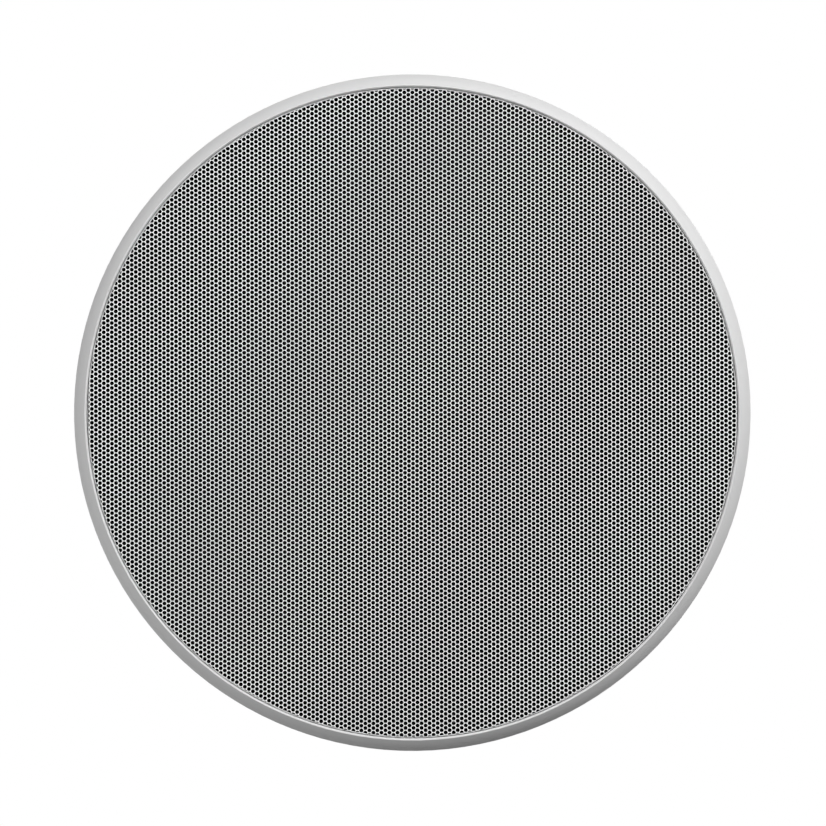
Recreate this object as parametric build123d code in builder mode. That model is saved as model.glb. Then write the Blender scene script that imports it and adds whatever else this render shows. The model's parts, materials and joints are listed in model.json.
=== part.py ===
"""Round in-ceiling loudspeaker with a slim white rim and a flush perforated steel grille.

All sizes are in millimetres. The face of the ceiling is the plane Z = 0, the speaker's axis is Z,
+Z points up into the ceiling void and the grille looks down along -Z.
"""

import os
from math import cos, hypot, radians, sin, sqrt

from build123d import *

os.makedirs("parts", exist_ok=True)

# Clearances
GLUE_LINE = 0.05  # between two pieces that are bonded or pressed together
SCREW_CLEARANCE = 0.05  # a screw in its hole, on the radius
RUNNING_CLEARANCE = 0.08  # a turning screw in its bearing, on the radius
SLIDE_CLEARANCE = 0.3  # a moving piece beside its guide
COIL_CLEARANCE = 0.6  # the voice coil in the magnet's gap, on the radius

# White rim ring
RIM_DIAMETER = 233.0  # the whole speaker follows this size
RIM_HEIGHT = 6.5  # from the ceiling to the crest
RIM_SLOPE_WIDTH = 4.0  # the sloped outer face, seen from below
RIM_SLOPE_BULGE = 0.33  # how far that face swells beyond a straight slope
RIM_EDGE = 0.8  # the upright edge against the ceiling
LIP_WIDTH = 0.55  # the bevel from the crest in to the grille
LIP_DEPTH = 0.8
CREST_ROUNDING = 0.25
RING_THICKNESS = 2.5
RING_WIDTH = 21.5  # from the outer edge in to the opening
REBATE_DEPTH = 0.8  # the seat of the collar in the back of the ring

# Steel grille, its cloth and its magnets
GRILLE_GAP = 0.2  # between the grille and the lip
GRILLE_SET_BACK = 0.5  # the grille's face below the crest
GRILLE_THICKNESS = 0.7
GRILLE_BEND_RADIUS = 1.0
PERFORATION_PITCH = 1.6  # the steel's own holes, in a triangular pattern
PERFORATION_DIAMETER = 1.28
PERFORATION_GROUP = 12  # each modelled hole stands for a patch this many pitches wide
PERFORATION_MARGIN = 2.0  # plain metal left at the edge
SCRIM_THICKNESS = 0.4
SCRIM_MARGIN = 1.1  # from the grille's edge to the cloth, clear of its bend
MAGNET_COUNT = 8
MAGNET_DIAMETER = 5.0
MAGNET_SEAT = 1.0  # depth of each magnet's pocket
MAGNET_EDGE_DISTANCE = 3.5  # from the lip to a magnet's axis

# Baffle: collar, shelf and clamp towers in one moulding
RIM_OVERLAP = 12.5  # how far the rim covers the ceiling around its hole
CUTOUT_CLEARANCE = 1.0  # on the radius
COLLAR_WALL = 2.5
COLLAR_HEIGHT = 20.0
COLLAR_STEP = 0.6  # how far the collar's foot steps in to enter the ring
SHELF_HEIGHT = 8.0  # the shelf's front face above the ceiling
SHELF_THICKNESS = 3.0
SHELF_CHAMFER = 1.5  # around the front of the woofer's opening
RIM_SCREW_COUNT = 8
RIM_SCREW_BOSS_DIAMETER = 6.8
RIB_THICKNESS = 2.0
RIB_HEIGHT = 8.0
RIB_LENGTH = 16.0
RIB_CREST_LENGTH = 4.0  # the level top of a rib
BOSS_DIAMETER = 7.0
FRONT_BOSS_HEIGHT = 5.0
REAR_BOSS_HEIGHT = 6.0

# Swing-out ceiling clamps
CLAMP_COUNT = 4
CLAMP_START_ANGLE = 45.0
CLAMP_INSET = 8.5  # from the collar's inner face to a clamp's screw
CLAMP_TRAVEL = 36.5
CLAMP_LOW_CLEARANCE = 0.5  # a lowered clamp above the shelf
CLAMP_TOP_CLEARANCE = 0.5  # a raised clamp below the tower's cap
DOG_WIDTH = 10.0
DOG_REACH = 21.0
DOG_HEIGHT = 13.5
DOG_TIP_HEIGHT = 6.5
DOG_TIP_ROUNDING = 1.2
DOG_SHOULDER_DROP = 1.6  # the arm's top below the hub's
DOG_TOOTH_COUNT = 3
DOG_TOOTH_INSET = 2.4  # from the tip to the first groove
DOG_TOOTH_DEPTH = 0.8
DOG_TOOTH_WIDTH = 1.6
TOWER_WALL = 2.2
TOWER_CAP = 3.0
TOWER_ROUNDING = 2.0
TOWER_GUSSET_LENGTH = 10.0
TOWER_GUSSET_HEIGHT = 24.0
CLAMP_SCREW_DIAMETER = 4.0
CLAMP_HEAD_DIAMETER = 8.0
CLAMP_HEAD_HEIGHT = 3.0
CLAMP_HEAD_ROUNDING = 1.0
CLAMP_SCREW_TAIL = 2.5  # how far the screw stands out of the tower
CLAMP_TAIL_CHAMFER = 0.5
CLIP_DIAMETER = 9.0
CLIP_THICKNESS = 1.0

# Small screws
SCREW_DIAMETER = 3.0
SCREW_HEAD_DIAMETER = 5.6
SCREW_HEAD_HEIGHT = 2.0
HEAD_ROUNDING = 0.6
SCREW_LENGTH = 10.0
RECESS_LENGTH_SHARE = 0.6  # of a cross recess to its head
RECESS_WIDTH = 0.9
RECESS_DEPTH = 1.2

# Woofer
FLANGE_GAP = 1.5  # between the flange and the clamp towers
FLANGE_SEAT = 8.0  # how far the flange reaches over the shelf
WOOFER_SCREW_COUNT = 6
WOOFER_SCREW_INSET = 3.5  # from the flange's edge
GASKET_THICKNESS = 1.5
SHEET_STEEL = 1.2
SURROUND_THICKNESS = 0.7
SURROUND_LAND = 4.5  # glued outer edge
SURROUND_ROLL_WIDTH = 10.5
CONE_RIM_WIDTH = 3.0
CONE_THICKNESS = 0.7
CONE_DEPTH = 21.5
CONE_FLARE = 2.4  # how far the cone swells in front of a straight one
CONE_COLLAR = 2.0  # the cone's neck along the former
DUST_CAP_DIAMETER = 42.0
DUST_CAP_RISE = 6.0
DUST_CAP_THICKNESS = 0.6
BASKET_STEP = 4.0  # upright wall behind the flange
BASKET_DEPTH = 26.5  # flange to the spider's ledge
BASKET_NECK = 9.0  # ledge to the magnet's front plate
BASKET_LEG_COUNT = 6
BASKET_LEG_WIDTH = 13.0
BASKET_LEG_REACH = 24.5  # from the step in to the spider's ledge
LEG_RIB_WIDTH = 5.0
LEG_RIB_HEIGHT = 1.5
LEG_RIB_TAPER = 3.0
BASKET_WINDOW_MARGIN = 2.5
BASKET_WINDOW_ROUNDING = 4.0
SPIDER_LAND = 4.5
SPIDER_FLAT = 1.1  # level cloth between the last wave and the ledge
SPIDER_THICKNESS = 0.5
SPIDER_WAVES = 5
SPIDER_WAVE_SHARE = 0.34  # a wave's height to its width
FORMER_INNER_DIAMETER = 32.0
FORMER_THICKNESS = 0.3
FORMER_LENGTH = 32.0
FORMER_FRONT = 3.0  # how far the former stands out in front of the cone's neck
COIL_THICKNESS = 0.65
COIL_LENGTH = 10.0
TOP_PLATE_DIAMETER = 78.0
TOP_PLATE_THICKNESS = 6.0
PLATE_EDGE_CHAMFER = 0.8
MAGNET_RING_DIAMETER = 90.0
MAGNET_RING_BORE = 44.0
MAGNET_RING_THICKNESS = 15.0
MAGNET_EDGE_CHAMFER = 1.0
YOKE_DIAMETER = 78.0
YOKE_THICKNESS = 5.0
YOKE_VENT_DIAMETER = 10.0
YOKE_EDGE_CHAMFER = 1.5
POLE_STAND_OUT = 0.8  # the pole's tip in front of the top plate
TAG_BOARD_LENGTH = 24.0
TAG_BOARD_WIDTH = 7.0
TAG_BOARD_THICKNESS = 1.5
TAG_SPACING = 12.0
TAG_WIDTH = 5.0
TAG_THICKNESS = 0.8
TAG_HEIGHT = 8.0
TAG_HOLE_DIAMETER = 2.0

# Tweeter and its bridge
BRIDGE_WIDTH = 14.0
BRIDGE_THICKNESS = 4.0
BRIDGE_FRONT = 3.2  # the bridge's face below the ceiling
BRIDGE_END_GAP = 0.7  # between the bridge's corners and the rim ring
BRIDGE_FOOT_LENGTH = 10.0
BRIDGE_CORNER = 2.3
BRIDGE_HEAD_SEAT = 3.0  # depth of the screw's counterbore
POD_DIAMETER = 44.0
POD_ROUNDING = 2.5
POD_FLOOR = 2.0
POD_VENT_DIAMETER = 5.0
FACEPLATE_DIAMETER = 38.0
FACEPLATE_DEPTH = 5.8
FACEPLATE_LEDGE = 2.0  # thickness of the faceplate's outer edge
HORN_MOUTH_DIAMETER = 31.0
DOME_DIAMETER = 25.0
DOME_RISE = 5.0
DOME_ROLL = 1.2  # width of the dome's soft edge
DOME_THICKNESS = 0.3
DOME_LAND = 0.4
TWEETER_CUP_DIAMETER = 33.0
TWEETER_CUP_FLOOR = 2.5
TWEETER_GAP = 0.7
TWEETER_PLATE_THICKNESS = 2.5
TWEETER_MAGNET_DIAMETER = 21.0
TWEETER_MAGNET_THICKNESS = 4.0
TWEETER_COIL_THICKNESS = 0.3
TWEETER_COIL_LENGTH = 3.4

# Crossover: bracket, board, parts and push terminals
BRACKET_GAP = 2.0  # between the woofer's flange and the bracket
BRACKET_WALL = 2.0
BRACKET_FOOT_GAP = 0.4  # between the foot's corners and the collar
BRACKET_CORNER = 5.0
BRACKET_GUSSET_HEIGHT = 26.0
BRACKET_SIDE_MARGIN = 2.0  # from the board's side to the bracket's
BRACKET_SCREW_INSET = 8.0  # from the bracket's side
STANDOFF_LENGTH = 4.0
STANDOFF_DIAMETER = 6.0
BOARD_WIDTH = 56.0
BOARD_HEIGHT = 42.0
BOARD_THICKNESS = 1.6
BOARD_LIFT = 7.5  # the board's lower edge above the shelf
BOARD_TOP_MARGIN = 2.5  # the bracket's top above the board
BOARD_HOLE_INSET = 4.0
BOARD_SCREW_DIAMETER = 2.5
BOARD_HEAD_DIAMETER = 4.8
BOARD_HEAD_HEIGHT = 1.8
BOARD_SCREW_LENGTH = 5.0
INDUCTOR_DIAMETER = 26.0
INDUCTOR_LENGTH = 14.0
INDUCTOR_FLANGE = 1.5
INDUCTOR_CORE_DIAMETER = 10.0
INDUCTOR_LIFT = 2.0  # above the board's middle
PARTS_GAP = 1.5  # between neighbours on the board
CAPACITOR_DIAMETERS = (13.0, 10.0)
CAPACITOR_LENGTHS = (24.0, 20.0)
CAPACITOR_ROUNDING = 0.75
RESISTOR_LENGTH = 22.0
RESISTOR_SIDE = 8.0
RESISTOR_CHAMFER = 0.8
RESISTOR_GAP = 0.75  # below the smaller capacitor
TERMINAL_WIDTH = 32.0
TERMINAL_DEPTH = 12.0
TERMINAL_HEIGHT = 16.0
TERMINAL_SPACING = 16.0
TERMINAL_CHAMFER = 1.0
BUTTON_WIDTH = 7.0
BUTTON_DEPTH = 5.0
BUTTON_LENGTH = 11.0
BUTTON_ROUNDING = 0.65
BUTTON_TRAVEL = 2.5
BUTTON_STAND_OUT = 3.5
WIRE_HOLE_DIAMETER = 3.2
WIRE_HOLE_DEPTH = 9.0
WIRE_HOLE_HEIGHT = 3.0  # above the terminal's lower face
PIN_WIDTH = 1.2

# Levels and radii that follow from those sizes
rim_radius = RIM_DIAMETER / 2
crest_radius = rim_radius - RIM_SLOPE_WIDTH
lip_radius = crest_radius - LIP_WIDTH
ring_front = -RING_THICKNESS
ring_inner_radius = rim_radius - RING_WIDTH
grille_radius = lip_radius - GRILLE_GAP
grille_front = GRILLE_SET_BACK - RIM_HEIGHT
grille_back = grille_front + GRILLE_THICKNESS
scrim_radius = grille_radius - SCRIM_MARGIN
scrim_back = grille_back + SCRIM_THICKNESS
magnet_circle = lip_radius - MAGNET_EDGE_DISTANCE
collar_radius = rim_radius - RIM_OVERLAP - CUTOUT_CLEARANCE
collar_inner_radius = collar_radius - COLLAR_WALL
spigot_radius = collar_radius - COLLAR_STEP
rebate_radius = collar_radius + SLIDE_CLEARANCE
shelf_front = SHELF_HEIGHT
shelf_rear = SHELF_HEIGHT + SHELF_THICKNESS
rim_screw_circle = spigot_radius - RIM_SCREW_BOSS_DIAMETER / 2
clamp_circle = collar_inner_radius - CLAMP_INSET
guide_offset = DOG_WIDTH / 2 + SLIDE_CLEARANCE
tower_reach = guide_offset + TOWER_WALL
tower_outer = collar_inner_radius + COLLAR_WALL / 2 - clamp_circle
dog_low = shelf_rear + CLAMP_LOW_CLEARANCE
dog_bottom = dog_low + CLAMP_TRAVEL
dog_top = dog_bottom + DOG_HEIGHT
tower_top = dog_top + CLAMP_TOP_CLEARANCE
cap_top = tower_top + TOWER_CAP
flange_radius = clamp_circle - tower_reach - FLANGE_GAP
woofer_screw_circle = flange_radius - WOOFER_SCREW_INSET
opening_radius = flange_radius - FLANGE_SEAT
basket_front = shelf_rear + GASKET_THICKNESS
basket_rear = basket_front + SHEET_STEEL
land_front = basket_front - SURROUND_THICKNESS
surround_radius = opening_radius
roll_outer_radius = surround_radius - SURROUND_LAND
cone_radius = roll_outer_radius - SURROUND_ROLL_WIDTH
ledge_radius = roll_outer_radius - BASKET_LEG_REACH
neck_wall_radius = ledge_radius - SPIDER_LAND
step_level = basket_rear + BASKET_STEP
former_inner_radius = FORMER_INNER_DIAMETER / 2
former_radius = former_inner_radius + FORMER_THICKNESS
neck_radius = former_radius + GLUE_LINE
neck_level = basket_front + CONE_DEPTH
ledge_front = basket_rear + BASKET_DEPTH
plate_front = ledge_front + BASKET_NECK + SHEET_STEEL
plate_rear = plate_front + TOP_PLATE_THICKNESS
magnet_rear = plate_rear + MAGNET_RING_THICKNESS
yoke_rear = magnet_rear + YOKE_THICKNESS
pole_radius = former_inner_radius - COIL_CLEARANCE
coil_inner_radius = former_radius + GLUE_LINE
coil_radius = coil_inner_radius + COIL_THICKNESS
coil_middle = plate_front + TOP_PLATE_THICKNESS / 2
bridge_front = -BRIDGE_FRONT
bridge_rear = bridge_front + BRIDGE_THICKNESS
bridge_reach = sqrt((ring_inner_radius - BRIDGE_END_GAP) ** 2 - (BRIDGE_WIDTH / 2) ** 2)
bridge_screw_radius = bridge_reach - BRIDGE_FOOT_LENGTH / 2
pod_bore_radius = TWEETER_CUP_DIAMETER / 2 + GLUE_LINE
dome_front = bridge_front + FACEPLATE_DEPTH
cup_front = dome_front + DOME_LAND
cup_rear = cup_front + TWEETER_PLATE_THICKNESS + TWEETER_MAGNET_THICKNESS + TWEETER_CUP_FLOOR
pod_rear = cup_rear + POD_FLOOR
dome_radius = DOME_DIAMETER / 2
tweeter_plate_radius = dome_radius - TWEETER_GAP
bracket_inner = flange_radius + BRACKET_GAP
bracket_outer = bracket_inner + BRACKET_WALL
bracket_height = BOARD_LIFT + BOARD_HEIGHT + BOARD_TOP_MARGIN
bracket_top = shelf_rear + bracket_height
bracket_width = BOARD_WIDTH + 2 * BRACKET_SIDE_MARGIN
foot_edge = sqrt(collar_inner_radius**2 - (bracket_width / 2) ** 2) - BRACKET_FOOT_GAP
foot_depth = foot_edge - bracket_inner
board_outer = bracket_inner - STANDOFF_LENGTH
board_inner = board_outer - BOARD_THICKNESS
board_middle = shelf_rear + BOARD_LIFT + BOARD_HEIGHT / 2
bracket_screw_line = (bracket_outer + foot_edge) / 2
bracket_screw_offset = bracket_width / 2 - BRACKET_SCREW_INSET
terminal_front = bracket_outer + TERMINAL_DEPTH
terminal_bottom = bracket_top - TERMINAL_HEIGHT
button_line = bracket_outer + TERMINAL_DEPTH / 2
button_top = bracket_top + BUTTON_STAND_OUT
button_bottom = button_top - BUTTON_LENGTH

# Where the screws stand
bracket_screw_places = [(side * bracket_screw_offset, bracket_screw_line) for side in (-1, 1)]
bridge_screw_places = [(side * bridge_screw_radius, 0) for side in (-1, 1)]
board_hole_places = [
    (x * (BOARD_WIDTH / 2 - BOARD_HOLE_INSET), z * (BOARD_HEIGHT / 2 - BOARD_HOLE_INSET))
    for x in (-1, 1)
    for z in (-1, 1)
]
terminal_places = [-TERMINAL_SPACING / 2, TERMINAL_SPACING / 2]
rim_screw_start = 180 / RIM_SCREW_COUNT


def clamp_plane(number, level=0.0):
    """The plane of one clamp: its origin on the screw, x outwards and y along the collar."""
    angle = radians(CLAMP_START_ANGLE + number * 360 / CLAMP_COUNT)
    outwards = (cos(angle), sin(angle), 0)
    screw = (clamp_circle * outwards[0], clamp_circle * outwards[1], level)
    return Plane(screw, x_dir=outwards, z_dir=(0, 0, 1))


def radial_plane(angle, level=0.0):
    """The upright plane through the speaker's axis at one angle in degrees: x outwards and y up."""
    turn = radians(angle)
    return Plane((0, 0, level), x_dir=(cos(turn), sin(turn), 0), z_dir=(sin(turn), -cos(turn), 0))


def board_plane(depth):
    """An upright plane in front of the crossover board, x along the board and z towards the axis."""
    return Plane((0, depth, board_middle), x_dir=(1, 0, 0), z_dir=(0, -1, 0))


def perforation(pitch, reach):
    """Centres of a triangular hole pattern in upright columns, out to the radius called reach."""
    column = pitch * sqrt(3) / 2
    count = int(reach / column) + 1
    steps = range(-count, count + 1)
    grid = [(i * column, (j + i % 2 / 2) * pitch) for i in steps for j in steps]
    return [place for place in grid if hypot(*place) <= reach]


def save(piece, name):
    """Label one finished piece and write it as its own file."""
    piece.part.label = name
    export_step(piece.part, f"parts/{name}.step")


# White rim ring: a flat ring that meets the ceiling, with a sloped rim around the grille
with BuildPart() as rim_ring:
    with BuildSketch(Plane.XZ) as ring_section:
        with BuildLine():
            crest = (crest_radius, -RIM_HEIGHT)
            edge = (rim_radius, -RIM_EDGE)
            slope = SagittaArc(crest, edge, -RIM_SLOPE_BULGE)
            Polyline(
                edge,
                (rim_radius, 0),
                (rebate_radius, 0),
                (rebate_radius, -REBATE_DEPTH),
                (ring_inner_radius, -REBATE_DEPTH),
                (ring_inner_radius, ring_front),
                (lip_radius, ring_front),
                (lip_radius, LIP_DEPTH - RIM_HEIGHT),
                crest,
            )
        make_face()
        fillet(ring_section.vertices().sort_by(Axis.Y)[0], CREST_ROUNDING)
    revolve(axis=Axis.Z)
    with BuildSketch(Plane.XY.offset(ring_front)):
        with PolarLocations(magnet_circle, MAGNET_COUNT):
            Circle(MAGNET_DIAMETER / 2 + GLUE_LINE)
    extrude(amount=MAGNET_SEAT, mode=Mode.SUBTRACT)
    with BuildSketch(Plane.XY.offset(ring_front)):
        with PolarLocations(rim_screw_circle, RIM_SCREW_COUNT, start_angle=rim_screw_start):
            Circle(SCREW_DIAMETER / 2 + SCREW_CLEARANCE)
    extrude(amount=RING_THICKNESS, mode=Mode.SUBTRACT)
save(rim_ring, "rim_ring")

# Perforated steel grille: a flat dish with a turned-back edge that stands on the ring
with BuildPart() as grille:
    with BuildSketch(Plane.XZ) as dish_section:
        with BuildLine():
            Polyline(
                (0, grille_front),
                (grille_radius, grille_front),
                (grille_radius, ring_front),
                (grille_radius - GRILLE_THICKNESS, ring_front),
                (grille_radius - GRILLE_THICKNESS, grille_back),
                (0, grille_back),
                close=True,
            )
        make_face()
        bends = dish_section.vertices().group_by(Axis.X)
        fillet(bends[-1].sort_by(Axis.Y)[0], GRILLE_BEND_RADIUS)
        fillet(bends[-2].sort_by(Axis.Y)[0], GRILLE_BEND_RADIUS - GRILLE_THICKNESS)
    revolve(axis=Axis.Z)
    hole_radius = PERFORATION_GROUP * PERFORATION_DIAMETER / 2
    with BuildSketch(Plane.XY.offset(grille_front)):
        with Locations(*perforation(PERFORATION_PITCH * PERFORATION_GROUP,
                                    grille_radius - PERFORATION_MARGIN - hole_radius)):
            Circle(hole_radius)
    extrude(amount=GRILLE_THICKNESS, mode=Mode.SUBTRACT)
save(grille, "grille")

# Black cloth behind the grille
with BuildPart() as grille_scrim:
    with BuildSketch(Plane.XY.offset(grille_back)):
        Circle(scrim_radius)
    extrude(amount=SCRIM_THICKNESS)
save(grille_scrim, "grille_scrim")

# Magnets that hold the grille through its cloth, each in a pocket of the rim ring
with BuildPart() as grille_magnets:
    with BuildSketch(Plane.XY.offset(scrim_back)):
        with PolarLocations(magnet_circle, MAGNET_COUNT):
            Circle(MAGNET_DIAMETER / 2)
    extrude(amount=ring_front + MAGNET_SEAT - scrim_back)
save(grille_magnets, "grille_magnets")


def screw_group(name, plane, places, diameter, length, head_diameter, head_height):
    """A group of pan-head screws: the heads stand on the plane and the shanks go behind it.

    The plane's z points from the heads' seat to the side from which they are driven.
    """
    with BuildPart() as screws:
        with BuildSketch(plane):
            with Locations(*places):
                Circle(head_diameter / 2)
        extrude(amount=head_height)
        head_tops = screws.faces().sort_by(Axis(plane.origin, plane.z_dir))[-len(places):]
        fillet(head_tops.edges(), HEAD_ROUNDING)
        with BuildSketch(plane):
            with Locations(*places):
                Circle(diameter / 2)
        extrude(amount=-length)
        with BuildSketch(plane.offset(head_height)):
            with Locations(*places):
                Rectangle(head_diameter * RECESS_LENGTH_SHARE, RECESS_WIDTH)
                Rectangle(RECESS_WIDTH, head_diameter * RECESS_LENGTH_SHARE)
        extrude(amount=-RECESS_DEPTH, mode=Mode.SUBTRACT)
    save(screws, name)


# Screws that hold the rim ring to the baffle, driven from the front behind the grille
rim_screw_places = [
    (rim_screw_circle * cos(radians(angle)), rim_screw_circle * sin(radians(angle)))
    for angle in [rim_screw_start + i * 360 / RIM_SCREW_COUNT for i in range(RIM_SCREW_COUNT)]
]
front_plane = Plane((0, 0, ring_front), x_dir=(1, 0, 0), z_dir=(0, 0, -1))
mirrored_places = [(x, -y) for x, y in rim_screw_places]
screw_group("rim_screws", front_plane, mirrored_places, SCREW_DIAMETER, SCREW_LENGTH, SCREW_HEAD_DIAMETER,
            SCREW_HEAD_HEIGHT)

# Black baffle moulding: collar, shelf for the woofer, ribs, screw bosses and four clamp towers
with BuildPart() as baffle:
    with BuildSketch(Plane.XZ):
        with BuildLine():
            Polyline(
                (spigot_radius, -REBATE_DEPTH),
                (spigot_radius, 0),
                (collar_radius, 0),
                (collar_radius, COLLAR_HEIGHT),
                (collar_inner_radius, COLLAR_HEIGHT),
                (collar_inner_radius, shelf_rear),
                (opening_radius, shelf_rear),
                (opening_radius, shelf_front + SHELF_CHAMFER),
                (opening_radius + SHELF_CHAMFER, shelf_front),
                (collar_inner_radius, shelf_front),
                (collar_inner_radius, -REBATE_DEPTH),
                close=True,
            )
        make_face()
    revolve(axis=Axis.Z)

    # Openings in the collar through which the clamps swing
    swing_radius = hypot(DOG_REACH, DOG_WIDTH / 2) + SLIDE_CLEARANCE
    for number in range(CLAMP_COUNT):
        with BuildSketch(clamp_plane(number, dog_low - SLIDE_CLEARANCE)):
            with BuildLine():
                Polyline(
                    (guide_offset, guide_offset),
                    (2 * DOG_REACH, guide_offset),
                    (2 * DOG_REACH, -swing_radius),
                    (guide_offset, -swing_radius),
                    close=True,
                )
            make_face()
        extrude(amount=COLLAR_HEIGHT, mode=Mode.SUBTRACT)

    # Clamp towers: two guide walls, a gusset and a cap that carries the end of the screw
    tower_corner = (-tower_reach, tower_reach)
    for number in range(CLAMP_COUNT):
        with BuildSketch(clamp_plane(number, shelf_rear)) as tower_walls:
            with BuildLine():
                Polyline(
                    tower_corner,
                    (tower_outer, tower_reach),
                    (tower_outer, guide_offset),
                    (-guide_offset, guide_offset),
                    (-guide_offset, -guide_offset),
                    (-tower_reach, -guide_offset),
                    close=True,
                )
            make_face()
            fillet(tower_walls.vertices().sort_by_distance(tower_corner)[0], TOWER_ROUNDING)
        extrude(amount=tower_top - shelf_rear)
        with BuildSketch(clamp_plane(number, tower_top)) as tower_cap:
            with BuildLine():
                Polyline(
                    tower_corner,
                    (guide_offset, tower_reach),
                    (guide_offset, -guide_offset),
                    (-tower_reach, -guide_offset),
                    close=True,
                )
            make_face()
            fillet(tower_cap.vertices().sort_by_distance(tower_corner)[0], TOWER_ROUNDING)
            fillet(tower_cap.vertices().group_by(Axis.X)[-1], TOWER_ROUNDING)
        extrude(amount=TOWER_CAP)
        screw_plane = clamp_plane(number, shelf_rear)
        with BuildSketch(Plane(screw_plane.origin, x_dir=screw_plane.y_dir, z_dir=screw_plane.x_dir)):
            with BuildLine():
                Polyline(
                    (guide_offset, 0),
                    (tower_reach + TOWER_GUSSET_LENGTH, 0),
                    (tower_reach, TOWER_GUSSET_HEIGHT),
                    (guide_offset, TOWER_GUSSET_HEIGHT),
                    close=True,
                )
            make_face()
        extrude(amount=RIB_THICKNESS / 2, both=True)

    # Bosses for the rim screws, with a rib from each one in to the woofer
    with BuildSketch(Plane.XY.offset(-REBATE_DEPTH)):
        with PolarLocations(rim_screw_circle, RIM_SCREW_COUNT, start_angle=rim_screw_start):
            Circle(RIM_SCREW_BOSS_DIAMETER / 2)
    extrude(amount=shelf_front + REBATE_DEPTH)
    for number in range(RIM_SCREW_COUNT):
        with BuildSketch(radial_plane(rim_screw_start + number * 360 / RIM_SCREW_COUNT, shelf_rear)):
            with BuildLine():
                Polyline(
                    (collar_inner_radius - RIB_LENGTH, 0),
                    (collar_inner_radius + COLLAR_WALL / 2, 0),
                    (collar_inner_radius + COLLAR_WALL / 2, RIB_HEIGHT),
                    (collar_inner_radius - RIB_CREST_LENGTH, RIB_HEIGHT),
                    close=True,
                )
            make_face()
        extrude(amount=RIB_THICKNESS / 2, both=True)

    # Bosses under the woofer's screws and the bracket's, and behind the bridge's
    with BuildSketch(Plane.XY.offset(shelf_front)):
        with PolarLocations(woofer_screw_circle, WOOFER_SCREW_COUNT):
            Circle(BOSS_DIAMETER / 2)
        with Locations(*bracket_screw_places):
            Circle(BOSS_DIAMETER / 2)
    extrude(amount=-FRONT_BOSS_HEIGHT)
    with BuildSketch(Plane.XY.offset(shelf_rear)):
        with Locations(*bridge_screw_places):
            Circle(BOSS_DIAMETER / 2)
    extrude(amount=REAR_BOSS_HEIGHT)

    # Screw holes
    with BuildSketch(Plane.XY.offset(-REBATE_DEPTH)):
        with PolarLocations(rim_screw_circle, RIM_SCREW_COUNT, start_angle=rim_screw_start):
            Circle(SCREW_DIAMETER / 2 + SCREW_CLEARANCE)
    extrude(amount=SCREW_LENGTH, mode=Mode.SUBTRACT)
    with BuildSketch(Plane.XY.offset(shelf_rear)):
        with PolarLocations(woofer_screw_circle, WOOFER_SCREW_COUNT):
            Circle(SCREW_DIAMETER / 2 + SCREW_CLEARANCE)
        with Locations(*bracket_screw_places):
            Circle(SCREW_DIAMETER / 2 + SCREW_CLEARANCE)
    extrude(amount=-(SHELF_THICKNESS + FRONT_BOSS_HEIGHT), mode=Mode.SUBTRACT)
    with BuildSketch(Plane.XY.offset(shelf_front)):
        with Locations(*bridge_screw_places):
            Circle(SCREW_DIAMETER / 2 + SCREW_CLEARANCE)
    extrude(amount=SHELF_THICKNESS + REAR_BOSS_HEIGHT, mode=Mode.SUBTRACT)
    with BuildSketch(Plane.XY.offset(shelf_front)):
        with PolarLocations(clamp_circle, CLAMP_COUNT, start_angle=CLAMP_START_ANGLE):
            Circle(CLAMP_SCREW_DIAMETER / 2 + RUNNING_CLEARANCE)
    extrude(amount=cap_top - shelf_front, mode=Mode.SUBTRACT)
save(baffle, "baffle")

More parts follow.
